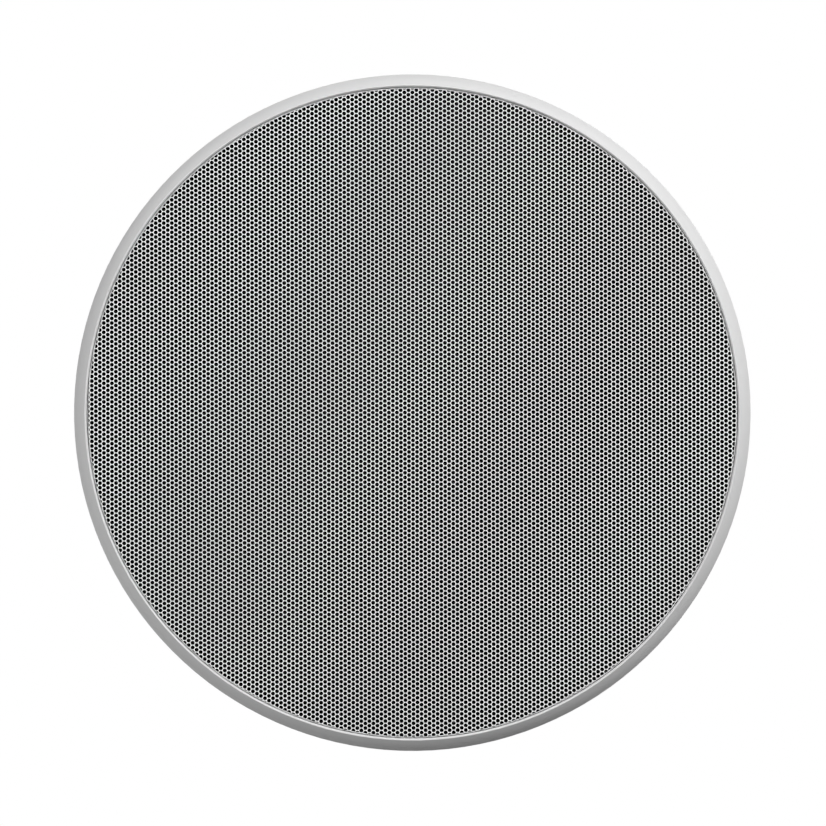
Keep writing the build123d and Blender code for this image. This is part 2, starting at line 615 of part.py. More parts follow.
# Ceiling clamps, stowed along the collar: screw, swing-out dog and retaining clip
for number in range(CLAMP_COUNT):
    shelf_plane = clamp_plane(number, shelf_front)
    with BuildPart() as clamp_screw:
        with BuildSketch(shelf_plane):
            Circle(CLAMP_HEAD_DIAMETER / 2)
        extrude(amount=-CLAMP_HEAD_HEIGHT)
        fillet(clamp_screw.faces().sort_by(Axis.Z)[0].edges(), CLAMP_HEAD_ROUNDING)
        with BuildSketch(shelf_plane):
            Circle(CLAMP_SCREW_DIAMETER / 2)
        extrude(amount=cap_top + CLAMP_SCREW_TAIL - shelf_front)
        chamfer(clamp_screw.faces().sort_by(Axis.Z)[-1].edges(), CLAMP_TAIL_CHAMFER)
        with BuildSketch(shelf_plane.offset(-CLAMP_HEAD_HEIGHT)):
            Rectangle(CLAMP_HEAD_DIAMETER * RECESS_LENGTH_SHARE, RECESS_WIDTH)
            Rectangle(RECESS_WIDTH, CLAMP_HEAD_DIAMETER * RECESS_LENGTH_SHARE)
        extrude(amount=RECESS_DEPTH, mode=Mode.SUBTRACT)
    save(clamp_screw, f"clamp_screw_{number + 1}")

    dog_plane = clamp_plane(number, dog_bottom)
    side_plane = Plane(dog_plane.origin, x_dir=-dog_plane.y_dir, z_dir=-dog_plane.x_dir)
    with BuildPart() as clamp_dog:
        with BuildSketch(dog_plane):
            Circle(DOG_WIDTH / 2)
        extrude(amount=DOG_HEIGHT)
        with BuildSketch(side_plane) as dog_arm:
            with BuildLine():
                Polyline(
                    (0, 0),
                    (DOG_REACH, 0),
                    (DOG_REACH, DOG_TIP_HEIGHT),
                    (DOG_WIDTH / 2, DOG_HEIGHT - DOG_SHOULDER_DROP),
                    (0, DOG_HEIGHT - DOG_SHOULDER_DROP),
                    close=True,
                )
            make_face()
            fillet(dog_arm.vertices().group_by(Axis.X)[-1], DOG_TIP_ROUNDING)
        extrude(amount=DOG_WIDTH / 2, both=True)
        with BuildSketch(side_plane):
            tooth_pitch = 2 * DOG_TOOTH_WIDTH
            first_groove = DOG_REACH - DOG_TOOTH_INSET
            with Locations(*[(first_groove - i * tooth_pitch, 0) for i in range(DOG_TOOTH_COUNT)]):
                Rectangle(DOG_TOOTH_WIDTH, 2 * DOG_TOOTH_DEPTH)
        extrude(amount=DOG_WIDTH / 2, both=True, mode=Mode.SUBTRACT)
        with BuildSketch(dog_plane):
            Circle(CLAMP_SCREW_DIAMETER / 2 + RUNNING_CLEARANCE)
        extrude(amount=DOG_HEIGHT, mode=Mode.SUBTRACT)
    save(clamp_dog, f"clamp_dog_{number + 1}")

    with BuildPart() as clamp_clip:
        with BuildSketch(clamp_plane(number, cap_top)):
            Circle(CLIP_DIAMETER / 2)
            Circle(CLAMP_SCREW_DIAMETER / 2 + GLUE_LINE, mode=Mode.SUBTRACT)
        extrude(amount=CLIP_THICKNESS)
    save(clamp_clip, f"clamp_clip_{number + 1}")

# Foam gasket between the shelf and the woofer's flange
with BuildPart() as woofer_gasket:
    with BuildSketch(Plane.XY.offset(shelf_rear)):
        Circle(flange_radius)
        Circle(surround_radius + SLIDE_CLEARANCE, mode=Mode.SUBTRACT)
        with PolarLocations(woofer_screw_circle, WOOFER_SCREW_COUNT):
            Circle(SCREW_DIAMETER / 2 + SCREW_CLEARANCE, mode=Mode.SUBTRACT)
    extrude(amount=GASKET_THICKNESS)
save(woofer_gasket, "woofer_gasket")

# Pressed steel basket: flange, legs, ledge for the spider and a neck that carries the magnet
with BuildPart() as woofer_basket:
    with BuildSketch(Plane.XZ):
        with BuildLine():
            Polyline(
                (flange_radius, basket_front),
                (roll_outer_radius, basket_front),
                (roll_outer_radius, step_level),
                (ledge_radius, ledge_front),
                (neck_wall_radius, ledge_front),
                (neck_wall_radius, plate_front - SHEET_STEEL),
                (MAGNET_RING_BORE / 2, plate_front - SHEET_STEEL),
                (MAGNET_RING_BORE / 2, plate_front),
                (neck_wall_radius + SHEET_STEEL, plate_front),
                (neck_wall_radius + SHEET_STEEL, ledge_front + SHEET_STEEL),
                (ledge_radius + SHEET_STEEL / 2, ledge_front + SHEET_STEEL),
                (roll_outer_radius + SHEET_STEEL, step_level),
                (roll_outer_radius + SHEET_STEEL, basket_rear),
                (flange_radius, basket_rear),
                close=True,
            )
        make_face()
    revolve(axis=Axis.Z)
    with BuildSketch(Plane.XY.offset(step_level)) as basket_windows:
        Circle(roll_outer_radius - BASKET_WINDOW_MARGIN)
        Circle(ledge_radius + BASKET_WINDOW_MARGIN, mode=Mode.SUBTRACT)
        with PolarLocations(roll_outer_radius / 2, BASKET_LEG_COUNT):
            Rectangle(roll_outer_radius, BASKET_LEG_WIDTH, mode=Mode.SUBTRACT)
        fillet(basket_windows.vertices(), BASKET_WINDOW_ROUNDING)
    extrude(amount=ledge_front - step_level, mode=Mode.SUBTRACT)

    # A pressed rib along the outside of each leg
    leg_foot = Vector(roll_outer_radius + SHEET_STEEL, step_level)
    leg_head = Vector(ledge_radius + SHEET_STEEL / 2, ledge_front + SHEET_STEEL)
    leg_line = (leg_head - leg_foot).normalized()
    leg_normal = Vector(leg_line.Y, -leg_line.X)
    for number in range(BASKET_LEG_COUNT):
        with BuildSketch(radial_plane(number * 360 / BASKET_LEG_COUNT)):
            with BuildLine():
                Polyline(
                    leg_foot - leg_normal * SHEET_STEEL / 2,
                    leg_foot + leg_line * LEG_RIB_TAPER + leg_normal * LEG_RIB_HEIGHT,
                    leg_head - leg_line * LEG_RIB_TAPER + leg_normal * LEG_RIB_HEIGHT,
                    leg_head - leg_normal * SHEET_STEEL / 2,
                    close=True,
                )
            make_face()
        extrude(amount=LEG_RIB_WIDTH / 2, both=True)
    with BuildSketch(Plane.XY.offset(basket_front)):
        with PolarLocations(woofer_screw_circle, WOOFER_SCREW_COUNT):
            Circle(SCREW_DIAMETER / 2 + SCREW_CLEARANCE)
    extrude(amount=SHEET_STEEL, mode=Mode.SUBTRACT)
save(woofer_basket, "woofer_basket")

# Rubber half-roll surround, glued to the basket's flange and to the cone's rim
with BuildPart() as woofer_surround:
    roll_middle = cone_radius + SURROUND_ROLL_WIDTH / 2
    roll_outside = SURROUND_ROLL_WIDTH / 2
    roll_inside = roll_outside - SURROUND_THICKNESS
    with BuildSketch(Plane.XZ):
        with BuildLine():
            Line((surround_radius, basket_front), (surround_radius, land_front))
            Line((surround_radius, land_front), (roll_middle + roll_outside, land_front))
            ThreePointArc(
                (roll_middle + roll_outside, land_front),
                (roll_middle, land_front - roll_outside),
                (roll_middle - roll_outside, land_front),
            )
            Polyline(
                (roll_middle - roll_outside, land_front),
                (cone_radius - CONE_RIM_WIDTH, land_front),
                (cone_radius - CONE_RIM_WIDTH, basket_front),
                (roll_middle - roll_inside, basket_front),
                (roll_middle - roll_inside, land_front),
            )
            ThreePointArc(
                (roll_middle - roll_inside, land_front),
                (roll_middle, land_front - roll_inside),
                (roll_middle + roll_inside, land_front),
            )
            Polyline(
                (roll_middle + roll_inside, land_front),
                (roll_middle + roll_inside, basket_front),
                (surround_radius, basket_front),
            )
        make_face()
    revolve(axis=Axis.Z)
save(woofer_surround, "woofer_surround")

# Woofer cone: a flat rim behind the surround, a swelling flare and a collar on the former
cone_start = cone_radius - CONE_RIM_WIDTH
cone_slope = (CONE_DEPTH - CONE_THICKNESS) / (cone_start - neck_radius - CONE_THICKNESS)
flare_outer = Vector(cone_start, basket_front)
flare_inner = Vector(neck_radius, basket_front + cone_slope * (cone_start - neck_radius))
flare_middle = (flare_outer + flare_inner) / 2
flare_line = (flare_inner - flare_outer).normalized()
flare_normal = Vector(-flare_line.Y, flare_line.X)
flare_length = (flare_inner - flare_outer).length
flare_curve = flare_length**2 / (8 * CONE_FLARE) + CONE_FLARE / 2
flare_centre = flare_middle + flare_normal * (CONE_FLARE - flare_curve)
rear_outer = Vector(cone_start, basket_front + CONE_THICKNESS)
rear_inner = Vector(neck_radius + CONE_THICKNESS, neck_level)
rear_middle = (rear_outer + rear_inner) / 2
with BuildPart() as woofer_cone:
    with BuildSketch(Plane.XZ):
        with BuildLine():
            Line((cone_radius, basket_front), flare_outer)
            ThreePointArc(flare_outer, flare_middle + flare_normal * CONE_FLARE, flare_inner)
            Polyline(
                flare_inner,
                (neck_radius, neck_level + CONE_COLLAR),
                (neck_radius + CONE_THICKNESS, neck_level + CONE_COLLAR),
                rear_inner,
            )
            ThreePointArc(rear_inner, rear_middle + flare_normal * CONE_FLARE, rear_outer)
            Polyline(
                rear_outer,
                (cone_radius, basket_front + CONE_THICKNESS),
                (cone_radius, basket_front),
            )
        make_face()
    revolve(axis=Axis.Z)
save(woofer_cone, "woofer_cone")

# Domed cap over the voice coil
with BuildPart() as woofer_dust_cap:
    cap_radius = DUST_CAP_DIAMETER / 2
    cap_rise = sqrt(flare_curve**2 - (cap_radius - flare_centre.X) ** 2)
    cap_seat = flare_centre.Y - cap_rise - GLUE_LINE
    lip_inner = cap_radius - DUST_CAP_THICKNESS
    with BuildSketch(Plane.XZ):
        with BuildLine():
            apex = cap_seat - DUST_CAP_RISE
            rim_outside = (cap_radius, cap_seat)
            Line((0, apex + DUST_CAP_THICKNESS), (0, apex))
            TangentArc((0, apex), rim_outside, tangent=(1, 0))
            Line(rim_outside, (lip_inner, cap_seat))
            TangentArc((0, apex + DUST_CAP_THICKNESS), (lip_inner, cap_seat), tangent=(1, 0))
        make_face()
    revolve(axis=Axis.Z)
save(woofer_dust_cap, "woofer_dust_cap")

# Corrugated spider that centres the former
with BuildPart() as woofer_spider:
    spider_inner = former_radius + SLIDE_CLEARANCE
    wave_end = neck_wall_radius - SPIDER_FLAT
    spider_rear = ledge_front
    spider_front = ledge_front - SPIDER_THICKNESS
    half_wave = (wave_end - spider_inner) / (2 * SPIDER_WAVES)
    nodes = [spider_inner + i * half_wave for i in range(2 * SPIDER_WAVES + 1)]
    with BuildSketch(Plane.XZ):
        with BuildLine():
            for level in (spider_front, spider_rear):
                for i in range(2 * SPIDER_WAVES):
                    swing = SPIDER_WAVE_SHARE * half_wave * (-1) ** i
                    middle = ((nodes[i] + nodes[i + 1]) / 2, level + swing)
                    ThreePointArc((nodes[i], level), middle, (nodes[i + 1], level))
            Line((spider_inner, spider_front), (spider_inner, spider_rear))
            Polyline(
                (wave_end, spider_front),
                (ledge_radius, spider_front),
                (ledge_radius, spider_rear),
                (wave_end, spider_rear),
            )
        make_face()
    revolve(axis=Axis.Z)
save(woofer_spider, "woofer_spider")


def tube(name, level, length, outer_radius, inner_radius, edge=0.0):
    """An upright tube on the speaker's axis, its outer edges chamfered by the length called edge."""
    with BuildPart() as sleeve:
        with BuildSketch(Plane.XY.offset(level)):
            Circle(outer_radius)
            Circle(inner_radius, mode=Mode.SUBTRACT)
        extrude(amount=length)
        if edge:
            outside = sleeve.faces().filter_by(GeomType.CYLINDER).sort_by(SortBy.AREA)[-1]
            chamfer(outside.edges().filter_by(GeomType.CIRCLE), edge)
    save(sleeve, name)


# Voice coil: a thin former with one winding, centred in the magnet's gap
tube("coil_former", neck_level - FORMER_FRONT, FORMER_LENGTH, former_radius, former_inner_radius)
tube("voice_coil", coil_middle - COIL_LENGTH / 2, COIL_LENGTH, coil_radius, coil_inner_radius)

# Magnet system: front plate, ferrite ring and a yoke with a vented pole
tube("top_plate", plate_front, TOP_PLATE_THICKNESS, TOP_PLATE_DIAMETER / 2, coil_radius + COIL_CLEARANCE,
     PLATE_EDGE_CHAMFER)
tube("magnet_ring", plate_rear, MAGNET_RING_THICKNESS, MAGNET_RING_DIAMETER / 2, MAGNET_RING_BORE / 2,
     MAGNET_EDGE_CHAMFER)
with BuildPart() as magnet_yoke:
    with BuildSketch(Plane.XY.offset(magnet_rear)):
        Circle(YOKE_DIAMETER / 2)
    extrude(amount=YOKE_THICKNESS)
    chamfer(magnet_yoke.faces().sort_by(Axis.Z)[-1].edges(), YOKE_EDGE_CHAMFER)
    with BuildSketch(Plane.XY.offset(plate_front - POLE_STAND_OUT)):
        Circle(pole_radius)
    extrude(amount=magnet_rear + YOKE_THICKNESS / 2 - plate_front + POLE_STAND_OUT)
    with BuildSketch(Plane.XY.offset(plate_front - POLE_STAND_OUT)):
        Circle(YOKE_VENT_DIAMETER / 2)
    extrude(amount=yoke_rear - plate_front + POLE_STAND_OUT, mode=Mode.SUBTRACT)
save(magnet_yoke, "magnet_yoke")

# Woofer screws, driven from behind
woofer_screw_places = [
    (woofer_screw_circle * cos(radians(angle)), woofer_screw_circle * sin(radians(angle)))
    for angle in [i * 360 / WOOFER_SCREW_COUNT for i in range(WOOFER_SCREW_COUNT)]
]
screw_group("woofer_screws", Plane.XY.offset(basket_rear), woofer_screw_places, SCREW_DIAMETER,
            SCREW_LENGTH, SCREW_HEAD_DIAMETER, SCREW_HEAD_HEIGHT)

# Solder-tag board on the woofer's flange, opposite the crossover
tag_line = -(roll_outer_radius + SHEET_STEEL + SLIDE_CLEARANCE + TAG_BOARD_WIDTH / 2)
tag_places = [(-TAG_SPACING / 2, tag_line), (TAG_SPACING / 2, tag_line)]
with BuildPart() as tag_board:
    with BuildSketch(Plane.XY.offset(basket_rear)):
        with Locations((0, tag_line)):
            RectangleRounded(TAG_BOARD_LENGTH, TAG_BOARD_WIDTH, TAG_BOARD_THICKNESS)
    extrude(amount=TAG_BOARD_THICKNESS)
save(tag_board, "tag_board")

with BuildPart() as solder_tags:
    with BuildSketch(Plane.XY.offset(basket_rear + TAG_BOARD_THICKNESS)):
        with Locations(*tag_places):
            Rectangle(TAG_WIDTH, TAG_THICKNESS)
    extrude(amount=TAG_HEIGHT)
    with BuildSketch(Plane.XZ.offset(-tag_line + TAG_THICKNESS)):
        with Locations(*[(x, basket_rear + TAG_HEIGHT) for x, y in tag_places]):
            Circle(TAG_HOLE_DIAMETER / 2)
    extrude(amount=-2 * TAG_THICKNESS, mode=Mode.SUBTRACT)
save(solder_tags, "solder_tags")

# Bridge across the woofer that holds the tweeter's pod
with BuildPart() as tweeter_bridge:
    with BuildSketch(Plane.XY.offset(bridge_front)):
        Rectangle(2 * bridge_reach, BRIDGE_WIDTH)
    extrude(amount=BRIDGE_THICKNESS)
    with BuildSketch(Plane.XY.offset(bridge_front)):
        with Locations(*bridge_screw_places):
            Rectangle(BRIDGE_FOOT_LENGTH, BRIDGE_WIDTH)
    extrude(amount=shelf_front - bridge_front)
    fillet(tweeter_bridge.edges().filter_by(Axis.Z), BRIDGE_CORNER)
    with BuildSketch(Plane.XY.offset(bridge_front)):
        Circle(POD_DIAMETER / 2)
    extrude(amount=pod_rear - bridge_front)
    fillet(tweeter_bridge.faces().sort_by(Axis.Z)[-1].edges(), POD_ROUNDING)
    with BuildSketch(Plane.XY.offset(bridge_front)):
        Circle(FACEPLATE_DIAMETER / 2 + GLUE_LINE)
    extrude(amount=FACEPLATE_LEDGE, mode=Mode.SUBTRACT)
    with BuildSketch(Plane.XY.offset(bridge_front)):
        Circle(pod_bore_radius)
    extrude(amount=cup_rear - bridge_front, mode=Mode.SUBTRACT)
    with BuildSketch(Plane.XY.offset(cup_rear)):
        Circle(POD_VENT_DIAMETER / 2)
    extrude(amount=POD_FLOOR, mode=Mode.SUBTRACT)
    with Locations(Plane((0, 0, bridge_front), x_dir=(1, 0, 0), z_dir=(0, 0, -1))):
        with Locations(*bridge_screw_places):
            CounterBoreHole(
                SCREW_DIAMETER / 2 + SCREW_CLEARANCE,
                SCREW_HEAD_DIAMETER / 2 + SLIDE_CLEARANCE,
                BRIDGE_HEAD_SEAT,
            )
save(tweeter_bridge, "tweeter_bridge")
bridge_seat = Plane((0, 0, bridge_front + BRIDGE_HEAD_SEAT), x_dir=(1, 0, 0), z_dir=(0, 0, -1))
bridge_screw_length = shelf_rear + REAR_BOSS_HEIGHT - bridge_front - BRIDGE_HEAD_SEAT
screw_group("bridge_screws", bridge_seat, bridge_screw_places, SCREW_DIAMETER, bridge_screw_length,
            SCREW_HEAD_DIAMETER, SCREW_HEAD_HEIGHT)

# Tweeter faceplate with a short horn
with BuildPart() as tweeter_faceplate:
    throat_radius = dome_radius + DOME_ROLL
    with BuildSketch(Plane.XZ):
        with BuildLine():
            mouth = (HORN_MOUTH_DIAMETER / 2, bridge_front)
            throat = (throat_radius, dome_front)
            SagittaArc(mouth, throat, -DOME_ROLL)
            Polyline(
                throat,
                (TWEETER_CUP_DIAMETER / 2, dome_front),
                (TWEETER_CUP_DIAMETER / 2, bridge_front + FACEPLATE_LEDGE),
                (FACEPLATE_DIAMETER / 2, bridge_front + FACEPLATE_LEDGE),
                (FACEPLATE_DIAMETER / 2, bridge_front),
                mouth,
            )
        make_face()
    revolve(axis=Axis.Z)
save(tweeter_faceplate, "tweeter_faceplate")

# Soft tweeter dome with its rolled edge, held between the faceplate and the steel cup
with BuildPart() as tweeter_dome:
    with BuildSketch(Plane.XZ):
        with BuildLine():
            apex = dome_front - DOME_RISE
            Line((0, apex + DOME_THICKNESS), (0, apex))
            TangentArc((0, apex), (dome_radius, dome_front), tangent=(1, 0))
            ThreePointArc(
                (dome_radius, dome_front),
                (dome_radius + DOME_ROLL / 2, dome_front - DOME_ROLL / 2),
                (throat_radius, dome_front),
            )
            Polyline(
                (throat_radius, dome_front),
                (TWEETER_CUP_DIAMETER / 2, dome_front),
                (TWEETER_CUP_DIAMETER / 2, cup_front),
                (dome_radius - DOME_THICKNESS, cup_front),
            )
            TangentArc((0, apex + DOME_THICKNESS), (dome_radius - DOME_THICKNESS, cup_front), tangent=(1, 0))
        make_face()
    revolve(axis=Axis.Z)
save(tweeter_dome, "tweeter_dome")

# Tweeter motor: coil in the gap, front plate, magnet and steel cup
coil_level = cup_front + GLUE_LINE
tube("tweeter_coil", coil_level, TWEETER_COIL_LENGTH, dome_radius + TWEETER_COIL_THICKNESS / 2,
     dome_radius - TWEETER_COIL_THICKNESS / 2)
with BuildPart() as tweeter_plate:
    with BuildSketch(Plane.XY.offset(cup_front + GLUE_LINE)):
        Circle(tweeter_plate_radius)
    extrude(amount=TWEETER_PLATE_THICKNESS - GLUE_LINE)
save(tweeter_plate, "tweeter_plate")
with BuildPart() as tweeter_magnet:
    with BuildSketch(Plane.XY.offset(cup_front + TWEETER_PLATE_THICKNESS)):
        Circle(TWEETER_MAGNET_DIAMETER / 2)
    extrude(amount=TWEETER_MAGNET_THICKNESS)
save(tweeter_magnet, "tweeter_magnet")
with BuildPart() as tweeter_cup:
    with BuildSketch(Plane.XY.offset(cup_front)):
        Circle(TWEETER_CUP_DIAMETER / 2)
    extrude(amount=cup_rear - cup_front)
    with BuildSketch(Plane.XY.offset(cup_front)):
        Circle(dome_radius + TWEETER_GAP)
    extrude(amount=cup_rear - cup_front - TWEETER_CUP_FLOOR, mode=Mode.SUBTRACT)
save(tweeter_cup, "tweeter_cup")

# Crossover bracket: a foot on the shelf, an upright wall and four standoffs for the board
with BuildPart() as crossover_bracket:
    with BuildSketch(Plane.XY.offset(shelf_rear)):
        with Locations((0, bracket_inner + foot_depth / 2)):
            Rectangle(bracket_width, foot_depth)
    extrude(amount=BRACKET_WALL)
    with BuildSketch(board_plane(bracket_inner)) as wall_outline:
        with Locations((0, shelf_rear + bracket_height / 2 - board_middle)):
            Rectangle(bracket_width, bracket_height)
        fillet(wall_outline.vertices().group_by(Axis.Y)[-1], BRACKET_CORNER)
    extrude(amount=-BRACKET_WALL)
    gusset_places = [side * (bracket_width - BRACKET_WALL) / 2 for side in (-1, 1)]
    for place in gusset_places:
        with BuildSketch(Plane.YZ.offset(place)):
            with BuildLine():
                Polyline(
                    (bracket_inner, shelf_rear),
                    (bracket_inner + foot_depth, shelf_rear),
                    (bracket_inner + foot_depth, shelf_rear + BRACKET_WALL),
                    (bracket_outer, shelf_rear + BRACKET_GUSSET_HEIGHT),
                    (bracket_inner, shelf_rear + BRACKET_GUSSET_HEIGHT),
                    close=True,
                )
            make_face()
        extrude(amount=BRACKET_WALL / 2, both=True)
    with BuildSketch(board_plane(bracket_inner)):
        with Locations(*board_hole_places):
            Circle(STANDOFF_DIAMETER / 2)
    extrude(amount=STANDOFF_LENGTH)
    with BuildSketch(board_plane(board_outer)):
        with Locations(*board_hole_places):
            Circle(BOARD_SCREW_DIAMETER / 2 + SCREW_CLEARANCE)
    extrude(amount=-BOARD_SCREW_LENGTH, mode=Mode.SUBTRACT)
    pin_level = terminal_bottom + TERMINAL_HEIGHT / 2 - board_middle
    with BuildSketch(board_plane(bracket_inner)):
        with Locations(*[(x, pin_level) for x in terminal_places]):
            Rectangle(2 * PIN_WIDTH, 2 * PIN_WIDTH)
    extrude(amount=-BRACKET_WALL, mode=Mode.SUBTRACT)
    with BuildSketch(Plane.XY.offset(shelf_rear)):
        with Locations(*bracket_screw_places):
            Circle(SCREW_DIAMETER / 2 + SCREW_CLEARANCE)
    extrude(amount=BRACKET_WALL, mode=Mode.SUBTRACT)
save(crossover_bracket, "crossover_bracket")
foot_top = Plane.XY.offset(shelf_rear + BRACKET_WALL)
screw_group("bracket_screws", foot_top, bracket_screw_places, SCREW_DIAMETER, SCREW_LENGTH,
            SCREW_HEAD_DIAMETER, SCREW_HEAD_HEIGHT)

# Crossover board on the standoffs, its parts facing the woofer
with BuildPart() as crossover_board:
    with BuildSketch(board_plane(board_outer)):
        Rectangle(BOARD_WIDTH, BOARD_HEIGHT)
        with Locations(*board_hole_places):
            Circle(BOARD_SCREW_DIAMETER / 2 + SCREW_CLEARANCE, mode=Mode.SUBTRACT)
    extrude(amount=BOARD_THICKNESS)
save(crossover_board, "crossover_board")
screw_group("board_screws", board_plane(board_inner), board_hole_places, BOARD_SCREW_DIAMETER,
            BOARD_SCREW_LENGTH, BOARD_HEAD_DIAMETER, BOARD_HEAD_HEIGHT)

inductor_place = (-BOARD_WIDTH / 2 + BOARD_HOLE_INSET + INDUCTOR_DIAMETER / 2, INDUCTOR_LIFT)
with BuildPart() as inductor_bobbin:
    with BuildSketch(board_plane(board_inner)):
        with Locations(inductor_place):
            Circle(INDUCTOR_DIAMETER / 2)
    extrude(amount=INDUCTOR_LENGTH)
    with BuildSketch(board_plane(board_inner - INDUCTOR_FLANGE)):
        with Locations(inductor_place):
            Circle(INDUCTOR_DIAMETER / 2)
            Circle(INDUCTOR_CORE_DIAMETER / 2, mode=Mode.SUBTRACT)
    extrude(amount=INDUCTOR_LENGTH - 2 * INDUCTOR_FLANGE, mode=Mode.SUBTRACT)
save(inductor_bobbin, "inductor_bobbin")
with BuildPart() as inductor_winding:
    with BuildSketch(board_plane(board_inner - INDUCTOR_FLANGE - GLUE_LINE)):
        with Locations(inductor_place):
            Circle(INDUCTOR_DIAMETER / 2 - INDUCTOR_FLANGE)
            Circle(INDUCTOR_CORE_DIAMETER / 2 + GLUE_LINE, mode=Mode.SUBTRACT)
    extrude(amount=INDUCTOR_LENGTH - 2 * INDUCTOR_FLANGE - 2 * GLUE_LINE)
save(inductor_winding, "inductor_winding")

parts_start = inductor_place[0] + INDUCTOR_DIAMETER / 2 + PARTS_GAP
capacitor_heights = [CAPACITOR_DIAMETERS[0] / 2, -CAPACITOR_DIAMETERS[1] / 2 - PARTS_GAP]
with BuildPart() as capacitors:
    for diameter, length, height in zip(CAPACITOR_DIAMETERS, CAPACITOR_LENGTHS, capacitor_heights):
        with BuildSketch(Plane((parts_start, board_inner - diameter / 2, board_middle + height),
                               x_dir=(0, 1, 0), z_dir=(1, 0, 0))):
            Circle(diameter / 2)
        extrude(amount=length)
    fillet(capacitors.edges().filter_by(GeomType.CIRCLE), CAPACITOR_ROUNDING)
save(capacitors, "capacitors")

resistor_height = capacitor_heights[1] - CAPACITOR_DIAMETERS[1] / 2 - RESISTOR_GAP - RESISTOR_SIDE / 2
with BuildPart() as resistor:
    with BuildSketch(board_plane(board_inner)):
        with Locations((parts_start - INDUCTOR_DIAMETER / 2 + RESISTOR_LENGTH / 2, resistor_height)):
            Rectangle(RESISTOR_LENGTH, RESISTOR_SIDE)
    extrude(amount=RESISTOR_SIDE)
    chamfer(resistor.faces().sort_by(Axis.Y)[0].edges(), RESISTOR_CHAMFER)
save(resistor, "resistor")

# Push terminals on the outside of the bracket: a block, two spring buttons and two pins to the board
with BuildPart() as terminal_block:
    with BuildSketch(Plane.XY.offset(terminal_bottom)):
        with Locations((0, bracket_outer + TERMINAL_DEPTH / 2)):
            Rectangle(TERMINAL_WIDTH, TERMINAL_DEPTH)
    extrude(amount=TERMINAL_HEIGHT)
    chamfer(terminal_block.faces().sort_by(Axis.Y)[-1].edges(), TERMINAL_CHAMFER)
    with BuildSketch(Plane.XY.offset(bracket_top)):
        with Locations(*[(x, button_line) for x in terminal_places]):
            Rectangle(BUTTON_WIDTH + 2 * SLIDE_CLEARANCE, BUTTON_DEPTH + 2 * SLIDE_CLEARANCE)
    well_depth = bracket_top - button_bottom + BUTTON_TRAVEL + SLIDE_CLEARANCE
    extrude(amount=-well_depth, mode=Mode.SUBTRACT)
    with BuildSketch(Plane.XZ.offset(-terminal_front)):
        with Locations(*[(x, terminal_bottom + WIRE_HOLE_HEIGHT) for x in terminal_places]):
            Circle(WIRE_HOLE_DIAMETER / 2)
    extrude(amount=WIRE_HOLE_DEPTH, mode=Mode.SUBTRACT)
save(terminal_block, "terminal_block")

for name, place in zip(("terminal_button_red", "terminal_button_black"), terminal_places):
    with BuildPart() as terminal_button:
        with BuildSketch(Plane.XY.offset(button_bottom)):
            with Locations((place, button_line)):
                Rectangle(BUTTON_WIDTH, BUTTON_DEPTH)
        extrude(amount=BUTTON_LENGTH)
        fillet(terminal_button.faces().sort_by(Axis.Z)[-1].edges(), BUTTON_ROUNDING)
    save(terminal_button, name)

with BuildPart() as terminal_pins:
    with BuildSketch(board_plane(bracket_outer)):
        with Locations(*[(x, pin_level) for x in terminal_places]):
            Rectangle(PIN_WIDTH, PIN_WIDTH)
    extrude(amount=bracket_outer - board_outer)
save(terminal_pins, "terminal_pins")
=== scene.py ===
"""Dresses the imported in-ceiling speaker: fine meshes, finishes, studio light and camera.

Every length is in metres in the part's own frame: the ceiling's face is the plane z = 0, +z points up into
the ceiling void and the grille looks down along -z. Angles are in radians unless a comment says otherwise.
"""

import json
import logging
import math
from dataclasses import dataclass
from enum import Enum

import bpy
import numpy as np
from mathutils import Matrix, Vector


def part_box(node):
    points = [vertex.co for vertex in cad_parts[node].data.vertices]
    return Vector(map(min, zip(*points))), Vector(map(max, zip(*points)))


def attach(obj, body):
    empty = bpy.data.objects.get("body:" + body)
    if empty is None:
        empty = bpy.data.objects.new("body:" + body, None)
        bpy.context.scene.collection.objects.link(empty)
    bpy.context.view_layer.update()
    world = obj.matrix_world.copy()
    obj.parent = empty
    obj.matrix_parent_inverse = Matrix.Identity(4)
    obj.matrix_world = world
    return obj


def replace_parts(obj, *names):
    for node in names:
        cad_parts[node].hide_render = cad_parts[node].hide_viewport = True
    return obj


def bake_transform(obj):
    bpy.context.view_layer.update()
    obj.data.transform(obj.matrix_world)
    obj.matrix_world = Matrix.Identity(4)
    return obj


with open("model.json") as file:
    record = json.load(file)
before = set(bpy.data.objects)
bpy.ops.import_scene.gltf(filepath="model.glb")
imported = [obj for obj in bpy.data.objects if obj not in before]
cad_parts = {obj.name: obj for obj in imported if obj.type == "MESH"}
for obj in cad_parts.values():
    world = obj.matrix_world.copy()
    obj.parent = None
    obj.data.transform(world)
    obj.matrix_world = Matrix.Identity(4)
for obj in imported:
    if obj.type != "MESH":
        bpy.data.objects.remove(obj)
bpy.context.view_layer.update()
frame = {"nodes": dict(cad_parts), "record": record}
LOG = logging.getLogger("ceiling_speaker")
MM = 0.001
TINY = 1e-9  # keeps a division by a distance from failing at the axis
CREASE = 0.6  # an edge that turns by more than this is shaded sharp
ROOT_BODY = "speaker"
CLAMP_COUNT = 4
MAP_NAME = "OFBake"  # name of the map that a mesh brings along
# Corners of a grille cell about its middle, counted in thirds of a column's spacing and in half pitches.
HEX_CORNERS = np.array([(2, 0), (1, 1), (-1, 1), (-2, 0), (-1, -1), (1, -1)])


# ---------------------------------------------------------------- meshes


